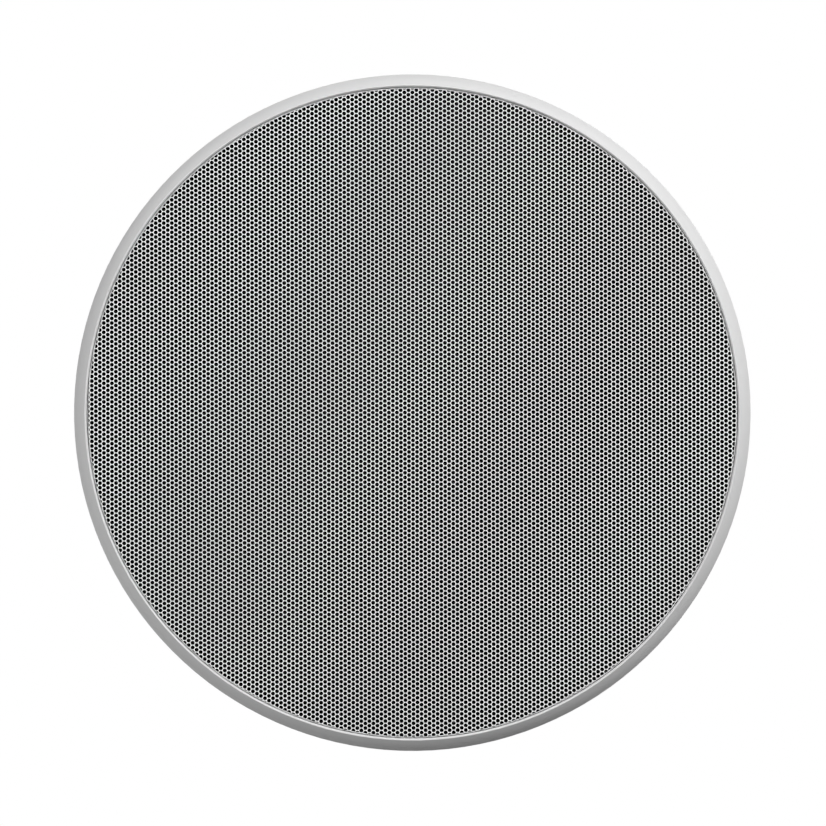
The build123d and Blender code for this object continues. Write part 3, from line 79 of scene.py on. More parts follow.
def put_mesh(name: str, points: np.ndarray, faces: list[np.ndarray], crease: float = CREASE,
             flat_map: np.ndarray | None = None) -> bpy.types.Object:
    """Make one object at the origin from whole arrays.

    Args:
        name: The piece's name.
        points: Vertices, one row each.
        faces: Arrays of faces; each row of an array holds one face's vertex numbers.
        crease: Edges that turn by more than this angle are shaded sharp.
        flat_map: Place (u, v) of each vertex on the mesh's own map, if it has one.

    Returns:
        The new object, linked to the scene.
    """
    loops = np.concatenate([rows.ravel() for rows in faces])
    counts = np.concatenate([np.full(len(rows), rows.shape[1]) for rows in faces])
    starts = np.cumsum(counts) - counts
    mesh = bpy.data.meshes.new(name)
    mesh.vertices.add(len(points))
    mesh.vertices.foreach_set("co", points.astype(np.float32).ravel())
    mesh.loops.add(len(loops))
    mesh.loops.foreach_set("vertex_index", loops.astype(np.int32))
    mesh.polygons.add(len(counts))
    mesh.polygons.foreach_set("loop_start", starts.astype(np.int32))
    mesh.polygons.foreach_set("use_smooth", np.ones(len(counts), bool))
    mesh.update(calc_edges=True)
    if flat_map is not None:
        layer = mesh.uv_layers.new(name=MAP_NAME)
        layer.uv.foreach_set("vector", flat_map[loops].astype(np.float32).ravel())
    mesh.validate()
    mesh.set_sharp_from_angle(angle=crease)
    piece = bpy.data.objects.new(name, mesh)
    bpy.context.scene.collection.objects.link(piece)
    return piece


def ring_angles(count: int) -> np.ndarray:
    """Angles of points that stand evenly round a circle, as one row."""
    return np.linspace(0, math.tau, count, endpoint=False)[None]


def around(radius: np.ndarray | float, angle: np.ndarray | float, height: np.ndarray | float,
           middle: tuple[float, float] | np.ndarray = (0.0, 0.0)) -> np.ndarray:
    """Points about an upright axis: radius r, angle a and height z give (r cos a, r sin a, z).

    Args:
        radius: Distances from the axis.
        angle: Angles about it.
        height: Heights along it; all three are spread over one grid.
        middle: Where the axis stands.

    Returns:
        Vertices, one row each, in the grid's order.
    """
    x, y = middle[0] + radius * np.cos(angle), middle[1] + radius * np.sin(angle)
    return np.stack(np.broadcast_arrays(x, y, height), -1).reshape(-1, 3)


def grid_faces(rows: int, columns: int, closed: bool = False) -> np.ndarray:
    """Quads of a grid of vertices numbered row by row, whose last column joins the first.

    Args:
        rows: Number of rows of vertices.
        columns: Vertices in each row.
        closed: Whether the last row joins the first too.

    Returns:
        One quad per row of the array.
    """
    row = np.arange(rows if closed else rows - 1)[:, None]
    column = np.arange(columns)[None]
    next_row, next_column = (row + 1) % rows, (column + 1) % columns
    corners = [row * columns + column, row * columns + next_column,
               next_row * columns + next_column, next_row * columns + column]
    return np.stack(corners, -1).reshape(-1, 4)


def closed_tube(name: str, points: np.ndarray, columns: int, flip: bool = False,
                crease: float = CREASE) -> bpy.types.Object:
    """Make an object from rings of points that follow one another, with the first and last ring filled.

    Args:
        name: The piece's name.
        points: Vertices, ring by ring.
        columns: Vertices in each ring.
        flip: Whether all faces are turned over.
        crease: Edges that turn by more than this angle are shaded sharp.

    Returns:
        The new object.
    """
    rows, ring = len(points) // columns, np.arange(columns)[None]
    faces = [grid_faces(rows, columns), ring[:, ::-1], (rows - 1) * columns + ring]
    return put_mesh(name, points, [block[:, ::-1] for block in faces] if flip else faces, crease)


def ring_sector(name: str, front: np.ndarray, rear: np.ndarray, start: float, turn: float,
                steps: int) -> bpy.types.Object:
    """Part of a ring: the section between two lines is carried through one angle, with both ends closed.

    Point k of one line lies across from point k of the other, so that the ends are rows of quads.

    Args:
        name: The piece's name.
        front: Points (radius, height) of the front line, from the inside outwards.
        rear: Points of the rear line, as many and in the same order.
        start: First angle.
        turn: Angle that the sector covers.
        steps: Steps along the sector.

    Returns:
        The new object.
    """
    section = np.concatenate([front, rear[::-1]])
    count = len(section)
    angle = np.linspace(start, start + turn, steps + 1)[:, None]
    points = around(section[:, 0][None], angle, section[:, 1][None])
    k = np.arange(len(front) - 1)
    cap = np.column_stack([k, k + 1, count - 2 - k, count - 1 - k])
    sides = grid_faces(steps + 1, count)[:, ::-1]
    return put_mesh(name, points, [sides, cap, (cap + steps * count)[:, ::-1]])


# ---------------------------------------------------------------- finishes

Feed = bpy.types.NodeSocket | float | tuple[float, ...]  # what a node's input can get


def feed(tree: bpy.types.NodeTree, node: bpy.types.Node, feeds: dict[str | int, Feed]) -> None:
    """Feed a node's inputs.

    Args:
        tree: The tree that holds the node.
        node: The node.
        feeds: What each input gets, by its name or number: another node's output, or a plain value.
    """
    for label, source in feeds.items():
        if isinstance(source, bpy.types.NodeSocket):
            tree.links.new(source, node.inputs[label])
        else:
            node.inputs[label].default_value = source


def add_node(tree: bpy.types.NodeTree, kind: str, feeds: dict[str | int, Feed],
             **settings: str | float | bpy.types.NodeTree) -> bpy.types.Node:
    """Add a shader node, set it up and feed its inputs.

    Args:
        tree: The tree of a material, a group or the world.
        kind: The node's type, without the word that every type starts with.
        feeds: What each input gets, as for feed.
        settings: The node's own settings, such as its operation.

    Returns:
        The node.
    """
    node = tree.nodes.new(f"ShaderNode{kind}")
    for label, value in settings.items():
        setattr(node, label, value)
    feed(tree, node, feeds)
    return node


class Pattern(Enum):
    """How a finish varies over its surface."""

    GRAIN = "grain"
    TURNED = "turned"
    WEAVE = "weave"
    TRACKS = "tracks"


class PatternGroup:
    """A shader group in the making: a broad and a fine scale go in, a mask and a height come out."""

    def __init__(self, name: str, cloud: float, grain: float) -> None:
        """Make the group's sockets and its place on the piece.

        Args:
            name: The group's name.
            cloud: First value of the broad scale.
            grain: First value of the fine scale.
        """
        self.tree = bpy.data.node_groups.new(name, "ShaderNodeTree")
        for label, value in (("Cloud Scale", cloud), ("Grain Scale", grain)):
            socket = self.tree.interface.new_socket(label, in_out="INPUT", socket_type="NodeSocketFloat")
            socket.default_value = value
        for label in ("Mask", "Height"):
            self.tree.interface.new_socket(label, in_out="OUTPUT", socket_type="NodeSocketFloat")
        given = self.tree.nodes.new("NodeGroupInput").outputs
        self.cloud, self.grain = given["Cloud Scale"], given["Grain Scale"]
        self.place = self.put("TexCoord", "Object", {})

    def put(self, kind: str, output: str, feeds: dict[str | int, Feed],
            **settings: str | float) -> bpy.types.NodeSocket:
        """Add a node, as add_node does, and return one of its outputs."""
        return add_node(self.tree, kind, feeds, **settings).outputs[output]

    def axes(self) -> tuple[bpy.types.NodeSocket, ...]:
        """The place's x, y and z."""
        return tuple(add_node(self.tree, "SeparateXYZ", {"Vector": self.place}).outputs)

    def pair(self, first: bpy.types.NodeSocket, second: bpy.types.NodeSocket) -> bpy.types.NodeSocket:
        """A flat vector of two values."""
        return self.put("CombineXYZ", "Vector", {"X": first, "Y": second})

    def noise(self, place: bpy.types.NodeSocket, scale: bpy.types.NodeSocket,
              detail: float = 2.0) -> bpy.types.NodeSocket:
        """Soft noise at one place, scale and detail."""
        return self.put("TexNoise", "Fac", {"Vector": place, "Scale": scale, "Detail": detail})

    def maths(self, operation: str, *terms: Feed) -> bpy.types.NodeSocket:
        """One step of arithmetic."""
        return self.put("Math", "Value", dict(enumerate(terms)), operation=operation)

    def close(self, mask: bpy.types.NodeSocket, height: bpy.types.NodeSocket) -> bpy.types.NodeTree:
        """Join what the group puts out, and hand the group over."""
        feed(self.tree, self.tree.nodes.new("NodeGroupOutput"), {"Mask": mask, "Height": height})
        return self.tree


def grain_group() -> bpy.types.NodeTree:
    """Moulded or coated surface: the mask is a broad cloudiness and the height a fine grain."""
    group = PatternGroup("fine_grain", 40.0, 1500.0)
    return group.close(group.noise(group.place, group.cloud, 4.0), group.noise(group.place, group.grain))


def turned_group() -> bpy.types.NodeTree:
    """Turned or rolled metal: mask and height vary with the distance from the z axis, in fine rings.

    Returns:
        The group; its mask is the square root of the rings times a broad cloudiness.
    """
    group = PatternGroup("turned_rings", 60.0, 2500.0)
    x, y, z = group.axes()
    distance = group.put("VectorMath", "Value", {0: group.pair(x, y)}, operation="LENGTH")
    rings = group.noise(group.pair(distance, z), group.grain, 3.0)
    cloud = group.noise(group.place, group.cloud, 5.0)
    return group.close(group.maths("SQRT", group.maths("MULTIPLY", rings, cloud)), rings)


def weave_group() -> bpy.types.NodeTree:
    """Plain weave in the x-y plane: the height is the larger of two crossed rounded threads.

    Returns:
        The group; its mask is the height times a broad cloudiness.
    """
    group = PatternGroup("plain_weave", 60.0, 900.0)
    threads = [group.put("TexWave", "Fac", {"Vector": group.place, "Scale": group.grain, "Distortion": 0.4},
                         bands_direction=axis) for axis in ("X", "Y")]
    top = group.maths("MAXIMUM", *threads)
    return group.close(group.maths("MULTIPLY", group.noise(group.place, group.cloud), top), top)


def tracks_group() -> bpy.types.NodeTree:
    """Printed board in the x-z plane: broad copper areas under the lacquer, parted by narrow sunken gaps.

    Returns:
        The group; its mask is the height times a broad cloudiness.
    """
    group = PatternGroup("copper_tracks", 120.0, 45.0)
    x, _, z = group.axes()
    gaps = group.put("TexBrick", "Fac",
                     {"Vector": group.pair(x, z), "Scale": group.grain, "Mortar Size": 0.02,
                      "Mortar Smooth": 0.3, "Brick Width": 0.7, "Row Height": 0.47},
                     offset=0.37, squash=1.7, squash_frequency=3)
    copper = group.maths("SUBTRACT", 1.0, gaps)
    return group.close(group.maths("MULTIPLY", copper, group.noise(group.place, group.cloud)), copper)


GROUPS = {Pattern.GRAIN: grain_group(), Pattern.TURNED: turned_group(), Pattern.WEAVE: weave_group(),
          Pattern.TRACKS: tracks_group()}


@dataclass(frozen=True)
class Finish:
    """One material: its colours, gloss and the pattern that varies them."""

    name: str
    colour: tuple[float, float, float]
    shade: float = 0.85  # what the colour is multiplied by where the mask is 0
    roughness: tuple[float, float] = (0.45, 0.6)  # where the mask is 0 and where it is 1
    metallic: float = 0.0
    pattern: Pattern = Pattern.GRAIN
    cloud: float = 40.0
    grain: float = 1500.0
    relief: float = 0.02  # the pattern's height in millimetres
    strength: float = 0.3
    coat: float = 0.0
    coat_roughness: float = 0.15
    sheen: float = 0.0
    specular: float = 0.5

    def build(self) -> bpy.types.Material:
        """Make the material's nodes.

        Returns:
            The material: colours between shade times colour and colour by the mask, roughness between its two
            ends by the mask, and a bump of the pattern's height.
        """
        material = bpy.data.materials.new(self.name)
        material.use_nodes = True
        tree = material.node_tree
        shader = tree.nodes["Principled BSDF"]
        low, high = self.roughness
        full, dark = (*self.colour, 1.0), (*(c * self.shade for c in self.colour), 1.0)
        feed(tree, shader, {"Base Color": full, "Roughness": high, "Metallic": self.metallic,
                            "Coat Weight": self.coat, "Coat Roughness": self.coat_roughness,
                            "Sheen Weight": self.sheen, "Specular IOR Level": self.specular})
        effect = add_node(tree, "Group", {"Cloud Scale": self.cloud, "Grain Scale": self.grain},
                          node_tree=GROUPS[self.pattern]).outputs
        colour = add_node(tree, "Mix", {"Factor": effect["Mask"], "A": dark, "B": full}, data_type="RGBA")
        gloss = add_node(tree, "MapRange", {"Value": effect["Mask"], "To Min": low, "To Max": high})
        feed(tree, shader, {"Base Color": colour.outputs["Result"], "Roughness": gloss.outputs["Result"]})
        if self.relief:
            bump = add_node(tree, "Bump", {"Strength": self.strength, "Distance": self.relief * MM,
                                           "Height": effect["Height"]})
            feed(tree, shader, {"Normal": bump.outputs["Normal"]})
        return material


FINISHES = (
    # rim_white is darker than grille_white although rim and grille are the same white: the lower value is painted
    # shade for the rim's sloped faces.
    Finish("rim_white", (0.765, 0.765, 0.765), 0.97, (0.5, 0.6), relief=0.006, strength=0.25, specular=0.3),
    Finish("grille_white", (0.95, 0.95, 0.95), 0.97, (0.45, 0.6), relief=0.0, cloud=30),
    # Near-zero black: the cloth's own black, darkened further as painted shade so that the holes read as dark as
    # shade.
    Finish("scrim_black", (0.003, 0.003, 0.003), 0.4, (0.85, 0.95), pattern=Pattern.WEAVE, grain=900, relief=0.1,
           strength=0.6, specular=0.08),
    Finish("nickel", (0.72, 0.71, 0.68), 0.9, (0.2, 0.3), 1.0, cloud=90, relief=0.004),
    Finish("screw_zinc", (0.66, 0.66, 0.64), 0.8, (0.25, 0.42), 1.0, cloud=150, relief=0.006),
    Finish("spring_steel", (0.3, 0.3, 0.31), 0.7, (0.3, 0.45), 1.0, cloud=150, relief=0.006),
    Finish("baffle_black", (0.032, 0.032, 0.034), 0.75, (0.4, 0.58), grain=1800, relief=0.03),
    Finish("dog_grey", (0.17, 0.17, 0.175), 0.82, (0.4, 0.55), grain=1200, relief=0.03),
    Finish("foam_black", (0.03, 0.03, 0.03), 0.5, (0.85, 0.95), grain=2200, relief=0.1, strength=0.7),
    Finish("basket_black", (0.022, 0.022, 0.024), 0.8, (0.32, 0.45), grain=1100, relief=0.03, strength=0.4),
    Finish("surround_rubber", (0.02, 0.02, 0.021), 0.7, (0.5, 0.65), grain=900),
    Finish("cone_black", (0.045, 0.045, 0.048), 0.6, (0.38, 0.55), cloud=120, grain=1600, relief=0.03),
    Finish("spider_cloth", (0.5, 0.34, 0.13), 0.55, (0.75, 0.9), pattern=Pattern.WEAVE, grain=700, relief=0.12,
           strength=0.7),
    Finish("former_film", (0.5, 0.27, 0.07), 0.8, (0.25, 0.35), coat=0.3),
    Finish("copper", (0.72, 0.3, 0.13), 0.75, (0.22, 0.36), 1.0, cloud=200, relief=0.006, coat=0.4),
    Finish("plate_zinc", (0.5, 0.5, 0.485), 0.45, (0.22, 0.44), 1.0, Pattern.TURNED, relief=0.016),
    Finish("ferrite", (0.06, 0.06, 0.063), 0.55, (0.5, 0.75), pattern=Pattern.TURNED, cloud=90, grain=1800,
           relief=0.03),
    Finish("tag_board_brown", (0.3, 0.15, 0.06), 0.7, (0.5, 0.65), cloud=200),
    Finish("tag_brass", (0.75, 0.68, 0.5), 0.85, (0.25, 0.4), 1.0, cloud=200, relief=0.006),
    Finish("faceplate_black", (0.03, 0.03, 0.032), 0.8, (0.45, 0.6), grain=1800),
    Finish("dome_silk", (0.03, 0.03, 0.032), 0.5, (0.7, 0.85), pattern=Pattern.WEAVE, relief=0.05, sheen=0.2),
    Finish("board_green", (0.035, 0.23, 0.085), 0.5, (0.25, 0.4), pattern=Pattern.TRACKS, cloud=120, grain=45,
           relief=0.06, strength=0.6, coat=0.3),
    Finish("bobbin_black", (0.05, 0.05, 0.05), 0.8, (0.4, 0.55)),
    Finish("capacitor_sleeve", (0.04, 0.08, 0.26), 0.8, (0.2, 0.32), cloud=80, relief=0.01),
    Finish("resistor_cement", (0.76, 0.74, 0.68), 0.8, (0.75, 0.9), cloud=300, grain=1600, relief=0.08,
           strength=0.6),
    Finish("terminal_black", (0.035, 0.035, 0.037), 0.8, (0.38, 0.5)),
    Finish("button_red", (0.55, 0.015, 0.015), 0.88, (0.28, 0.38), relief=0.01),
    Finish("button_black", (0.02, 0.02, 0.021), 0.8, (0.28, 0.38), relief=0.01),
)
MATERIALS = {finish.name: finish.build() for finish in FINISHES}


def dress(piece: bpy.types.Object, slot: str) -> bpy.types.Object:
    """Give a new piece the finish of one of the record's slots, and return the piece."""
    piece.data.materials.append(MATERIALS[slot])
    return piece


# ---------------------------------------------------------------- the front: grille and cloth


@dataclass
class Grille:
    """White perforated steel dish with a turned-back edge."""

    clearance: float = 0.1 * MM  # how much its radius is smaller than the solid's
    thickness: float = 0.7 * MM
    bend: float = 0.3 * MM
    drawn: float = 0.35  # share of the thickness that is left at the bend
    drawn_width: float = 1.5 * MM
    pitch: float = 1.5938 * MM
    column_stretch: float = 0.99923
    row_skew: float = 0.00136
    hole: float = 1.41 * MM
    turn: float = 0.108  # degrees
    offset: tuple[float, float] = (0.213 * MM, -0.059 * MM)
    hole_sides: int = 12
    back_sides: int = 6
    sectors: int = 6
    overhang: float = 0.2  # pitches by which a cell's middle may lie past the blank's edge

    def __post_init__(self) -> None:
        """Take the outer sizes from the CAD node."""
        low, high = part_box("grille")
        self.radius, self.face, self.skirt_end = high.x - self.clearance, low.z, high.z

    @property
    def flat_end(self) -> float:
        """Distance from the axis at which the bend begins."""
        return self.radius - self.bend

    @property
    def arc_radius(self) -> float:
        """Radius of the bend in the middle of the drawn sheet."""
        return self.bend - self.drawn * self.thickness / 2

    @property
    def skirt_start(self) -> float:
        """Distance from the axis, on the flat blank, at which the skirt begins."""
        return self.flat_end + self.arc_radius * math.pi / 2

    @property
    def blank_radius(self) -> float:
        """Radius of the flat blank before its edge is turned back."""
        return self.skirt_start + (self.skirt_end - self.face - self.bend)

    def formed(self, blank: np.ndarray, side: float) -> np.ndarray:
        """Carry points of the flat blank onto the formed dish.

        With s the distance from the axis on the blank, the outer face is flat up to the bend, follows an arc
        through a right angle, and then goes straight up the skirt. The inner face lies one thickness along its
        normal, and pressing has drawn the sheet thinner in even steps before the bend.

        Args:
            blank: Points (x, y) of the blank.
            side: 1 for the outer face and -1 for the inner one.

        Returns:
            Points (x, y, z) of that face.
        """
        distance = np.hypot(blank[:, 0], blank[:, 1])
        turn = np.clip((distance - self.flat_end) / self.arc_radius, 0, math.pi / 2)
        climb = np.clip(distance - self.skirt_start, 0, None)
        near = np.clip((distance - self.flat_end) / self.drawn_width + 1, 0, 1)
        wall = self.thickness * (1 - (1 - self.drawn) * near)
        reach = self.bend if side > 0 else self.bend - wall
        radius = np.minimum(distance, self.flat_end) + reach * np.sin(turn)
        level = self.face + self.bend - reach * np.cos(turn) + climb
        scale = radius / np.maximum(distance, TINY)
        return np.column_stack([blank[:, 0] * scale, blank[:, 1] * scale, level])

    def placed(self, pattern: np.ndarray) -> np.ndarray:
        """Carry points of the even pattern to where the tool punched them and the blank was cut.

        The columns stand a little closer than in an even pattern and the rows slope by a small skew; then the
        pattern is turned and shifted on the blank.

        Args:
            pattern: Points (x, y) of the even pattern.

        Returns:
            Points (x, y) of the blank.
        """
        turn = math.radians(self.turn)
        punched = np.array([[self.column_stretch, -self.row_skew], [0, 1]])
        across = np.array([[math.cos(turn), -math.sin(turn)], [math.sin(turn), math.cos(turn)]])
        return pattern @ punched @ across + self.offset

    @staticmethod
    def circles(holes: np.ndarray, sides: int, radius: float) -> np.ndarray:
        """Points of a circle round every hole, evenly spaced and in turn."""
        circle = around(radius, ring_angles(sides), 0.0)[:, :2]
        return (holes[:, None, :] + circle[None]).reshape(-1, 2)

    @staticmethod
    def zipped(outer: np.ndarray, inner: np.ndarray) -> np.ndarray:
        """Triangles between two rings of every cell.

        Both rings stand evenly round the cell and start at one angle. Going round, each triangle takes in the
        vertex that comes next, on whichever ring that is.

        Args:
            outer: Numbers of the outer ring's vertices, one row per cell.
            inner: Numbers of the inner ring's vertices, one row per cell.

        Returns:
            One triangle per row.
        """
        rows, i, j = [], 0, 0
        n, m = outer.shape[1], inner.shape[1]
        while i < n or j < m:
            if i < n and (j >= m or (i + 1) * m <= (j + 1) * n):
                rows.append((i % n, (i + 1) % n, n + j % m))
                i += 1
            else:
                rows.append((i % n, n + (j + 1) % m, n + j % m))
                j += 1
        return np.concatenate([outer, inner], 1)[:, np.array(rows)].reshape(-1, 3)

    @staticmethod
    def border(hexes: np.ndarray, n_corner: int) -> np.ndarray:
        """Quads that close a sector's edge: they stand on the sides that belong to one cell only.

        Args:
            hexes: Numbers of the cells' corners on the outer face, one row per cell.
            n_corner: How many corners a face has; the inner face's numbers are higher by that.

        Returns:
            One quad per row.
        """
        edges = np.stack([hexes, np.roll(hexes, -1, 1)], -1).reshape(-1, 2)
        pair = np.sort(edges, 1)
        code = pair[:, 0] * n_corner + pair[:, 1]
        _, first, uses = np.unique(code, return_index=True, return_counts=True)
        start, end = edges[first[uses == 1]].T
        return np.column_stack([end + n_corner, start + n_corner, start, end])

    def build(self) -> list[bpy.types.Object]:
        """Build the sectors of the grille.

        One hexagonal cell of the blank belongs to each hole of the triangular pattern, whose holes stand in
        upright columns. A cell is a ring from its six corners to its hole on each face, with the hole's wall
        between them; further up the skirt a cell has no hole, and corners past the edge are drawn in to it.

        Returns:
            The pieces.
        """
        column = self.pitch * math.sqrt(3) / 2
        count = int(self.blank_radius / column) + 3
        i, j = (a.ravel() for a in np.meshgrid(*[np.arange(-count, count + 1)] * 2, indexing="ij"))
        centre = self.placed(np.column_stack([i * column, (j + i % 2 / 2) * self.pitch]))
        distance = np.hypot(*centre.T)
        kept = distance < self.blank_radius + self.overhang * self.pitch
        i, j, centre, distance = i[kept], j[kept], centre[kept], distance[kept]
        angle = np.arctan2(centre[:, 1], centre[:, 0]) % math.tau
        sector = np.minimum((angle / math.tau * self.sectors).astype(int), self.sectors - 1)
        pieces, limit = [], self.skirt_start + self.pitch / 2
        for number in range(self.sectors):
            mine = sector == number
            pieces.append(self.sector(number, i[mine], j[mine], centre[mine], distance[mine] < limit))
        return pieces

    def sector(self, number: int, i: np.ndarray, j: np.ndarray, centre: np.ndarray,
               open_cell: np.ndarray) -> bpy.types.Object:
        """Build one sector of the grille.

        On the outer face a hole is a polygon of the hole's area, and on the inner face one that stands round it.

        Args:
            number: The sector's number.
            i: Column of each cell.
            j: Place of each cell in its column.
            centre: Middle of each cell on the blank.
            open_cell: Whether the cell has a hole.

        Returns:
            The piece.
        """
        cells = np.column_stack([3 * i, 2 * j + i % 2])
        keys = (cells[:, None] + HEX_CORNERS).reshape(-1, 2)
        keys, inverse = np.unique(keys, axis=0, return_inverse=True)
        hexes = inverse.reshape(-1, len(HEX_CORNERS))
        corners = self.placed(keys * np.array([self.pitch / (2 * math.sqrt(3)), self.pitch / 2]))
        reach = np.hypot(*corners.T)
        corners = corners * np.minimum(1, self.blank_radius / np.maximum(reach, TINY))[:, None]
        holes = centre[open_cell]
        share = self.hole_sides / math.tau * math.sin(math.tau / self.hole_sides)
        front_radius = self.hole / 2 / math.sqrt(share)
        back_radius = front_radius / math.cos(math.pi / self.back_sides)
        blanks = [corners, corners, self.circles(holes, self.hole_sides, front_radius),
                  self.circles(holes, self.back_sides, back_radius)]
        points = np.concatenate([self.formed(blank, side) for blank, side in zip(blanks, (1, -1, 1, -1))])
        flat = np.concatenate(blanks)
        flat_map = (flat - flat.min(0)) / np.ptp(flat, axis=0).max()
        n_corner, n_hole = len(corners), len(holes)
        front_hole = 2 * n_corner + np.arange(n_hole * self.hole_sides).reshape(n_hole, -1)
        back_hole = 2 * n_corner + front_hole.size + np.arange(n_hole * self.back_sides).reshape(n_hole, -1)
        ring, plain = hexes[open_cell], hexes[~open_cell]
        faces = [self.zipped(ring, front_hole)[:, ::-1], self.zipped(ring + n_corner, back_hole),
                 self.zipped(front_hole, back_hole)[:, ::-1], self.border(hexes, n_corner),
                 plain[:, ::-1], plain + n_corner]
        piece = put_mesh(f"grille_sector_{number + 1}", points, faces, flat_map=flat_map)
        piece.data.shade_flat()
        dress(piece, "grille_white")
        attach(piece, ROOT_BODY)
        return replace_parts(piece, "grille")


@dataclass
class Scrim:
    """Black cloth stretched across the grille's back, edge turned up in the skirt; partly painted shade behind the
    holes.
    """

    segments: int = 240
    rings: int = 5
    hub: float = 0.04  # share of the radius where the rings begin
    thickness: float = 0.3 * MM
    # The turned-up edge is painted shade: a dark sheet where the gap behind the outer holes is only shaded.
    shade_hem_reach: float = 0.7 * MM
    shade_hem_height: float = 1.4 * MM
    front_lift: float = 0.05 * MM
    rear_lift: float = 0.1 * MM

    def build(self) -> bpy.types.Object:
        """Build the cloth: a flat disc whose edge is turned up, carried once round the axis.

        The section runs outwards along the front face, up the turned edge, and back along the rear face.

        Returns:
            The piece.
        """
        low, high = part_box("grille_scrim")
        radius, hem = high.x, high.x + self.shade_hem_reach
        flat = np.linspace(self.hub * radius, radius - self.thickness, self.rings)
        rear, top = low.z + self.thickness, low.z + self.shade_hem_height
        section = np.concatenate([
            np.column_stack([flat, np.full(self.rings, low.z)]),
            [(radius, low.z + self.front_lift), (hem, rear), (hem, top), (hem - self.thickness, top),
             (hem - self.thickness, rear + self.rear_lift), (radius - self.thickness, rear)],
            np.column_stack([flat[-2::-1], np.full(self.rings - 1, rear)])])
        points = around(section[:, :1], ring_angles(self.segments), section[:, 1:])
        piece = dress(closed_tube("scrim_cloth_painted_shade", points, self.segments), "scrim_black")
        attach(piece, ROOT_BODY)
        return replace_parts(piece, "grille_scrim")


# ---------------------------------------------------------------- the woofer's soft parts


@dataclass
class SoftRing:
    """Soft ring between the basket and the cone, in sectors."""

    sectors: int = 12
    land: float = 4.5 * MM  # width of its flat seat on the basket
    leave: float = 0.965  # share of the outer radius for a start point that nothing uses

    def carried(self, name: str, node: str, slot: str, lines: tuple[np.ndarray, np.ndarray], steps: int,
                reach: tuple[float, float], level: float) -> list[bpy.types.Object]:
        """Carry a section round the axis in sectors.

        Args:
            name: What the sectors are called before their number.
            node: The CAD node that they replace.
            slot: Their finish.
            lines: Front and rear line of the section.
            steps: Steps along each sector.
            reach: Radii where the ring ends at the basket and at the cone; only used for two points that nothing
                reads.
            level: Height of both; only used for those two points.

        Returns:
            The pieces.
        """
        turn = math.tau / self.sectors
        pieces = []
        for number in range(self.sectors):
            piece = ring_sector(f"{name}_{number + 1}", *lines, number * turn, turn, steps)
            dress(piece, slot)
            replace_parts(piece, node)
            middle = (number + 0.5) * turn
            start, end = around(np.array([reach[0] * self.leave, reach[1]]), middle, level).tolist()
            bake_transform(piece)
            pieces.append(piece)
        return pieces


@dataclass
class Surround(SoftRing):
    """Rubber half roll between the basket and the cone."""

    steps: int = 14
    arc_steps: int = 20
    roll: float = 10.5 * MM
    rim: float = 3.0 * MM
    thickness: float = 0.7 * MM

    def section(self, radius: float, rear: float) -> tuple[np.ndarray, np.ndarray]:
        """Section of the ring: a flat rim, a half circle that swells towards the front, and a flat land.

        Args:
            radius: Outer radius of the land.
            rear: Level of the lands' rear faces.

        Returns:
            Front and rear lines of (radius, height), from the inside outwards.
        """
        front = rear - self.thickness
        middle = radius - self.land - self.roll / 2
        turn = np.linspace(math.pi, math.tau, self.arc_steps + 1)
        outside, inside = self.roll / 2, self.roll / 2 - self.thickness
        outer, inner = (np.column_stack([middle + r * np.cos(turn), front + r * np.sin(turn)])
                        for r in (outside, inside))
        inner[[0, -1], 1] = rear
        start = middle - outside - self.rim
        return (np.concatenate([[(start, front)], outer, [(radius, front)]]),
                np.concatenate([[(start, rear)], inner, [(radius, rear)]]))

    def build(self) -> list[bpy.types.Object]:
        """Build the sectors of the roll.

        Returns:
            The pieces.
        """
        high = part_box("woofer_surround")[1]
        roll_outer = high.x - self.land
        return self.carried("surround", "woofer_surround", "surround_rubber", self.section(high.x, high.z),
                            self.steps, (roll_outer, roll_outer - self.roll), high.z)


@dataclass
class Spider(SoftRing):
    """Corrugated cloth disc that centres the voice coil."""

    steps: int = 10
    waves: int = 5
    wave_steps: int = 10
    flat: float = 1.1 * MM
    thickness: float = 0.5 * MM
    swing_share: float = 0.34  # height of a wave as a share of its half length
    former_gap: float = 0.3 * MM

    def section(self, inner: float, outer: float, low: float) -> tuple[np.ndarray, np.ndarray]:
        """Section of the disc: height follows a sine of the radius, and is level on the outer land.

        Args:
            inner: Radius of the hole.
            outer: Radius of the disc.
            low: Level of the waves' lowest points.

        Returns:
            Front and rear lines of (radius, height), from the inside outwards.
        """
        wave_end = outer - self.land - self.flat
        half = (wave_end - inner) / (2 * self.waves)
        radius = np.linspace(inner, wave_end, self.waves * self.wave_steps + 1)
        height = self.swing_share * half * np.sin(math.pi * (radius - inner) / half)
        radius, height = np.append(radius, outer), np.append(height, 0)
        line = np.column_stack([radius, low + self.swing_share * half + height])
        return line, line + (0, self.thickness)

    def build(self) -> list[bpy.types.Object]:
        """Build the sectors of the waves.

        Returns:
            The pieces.
        """
        low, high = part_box("woofer_spider")
        inner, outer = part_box("coil_former")[1].x + self.former_gap, high.x
        return self.carried("spider", "woofer_spider", "spider_cloth", self.section(inner, outer, low.z),
                            self.steps, (outer - self.land - self.flat, inner), low.z)


# ---------------------------------------------------------------- threads, windings and caps


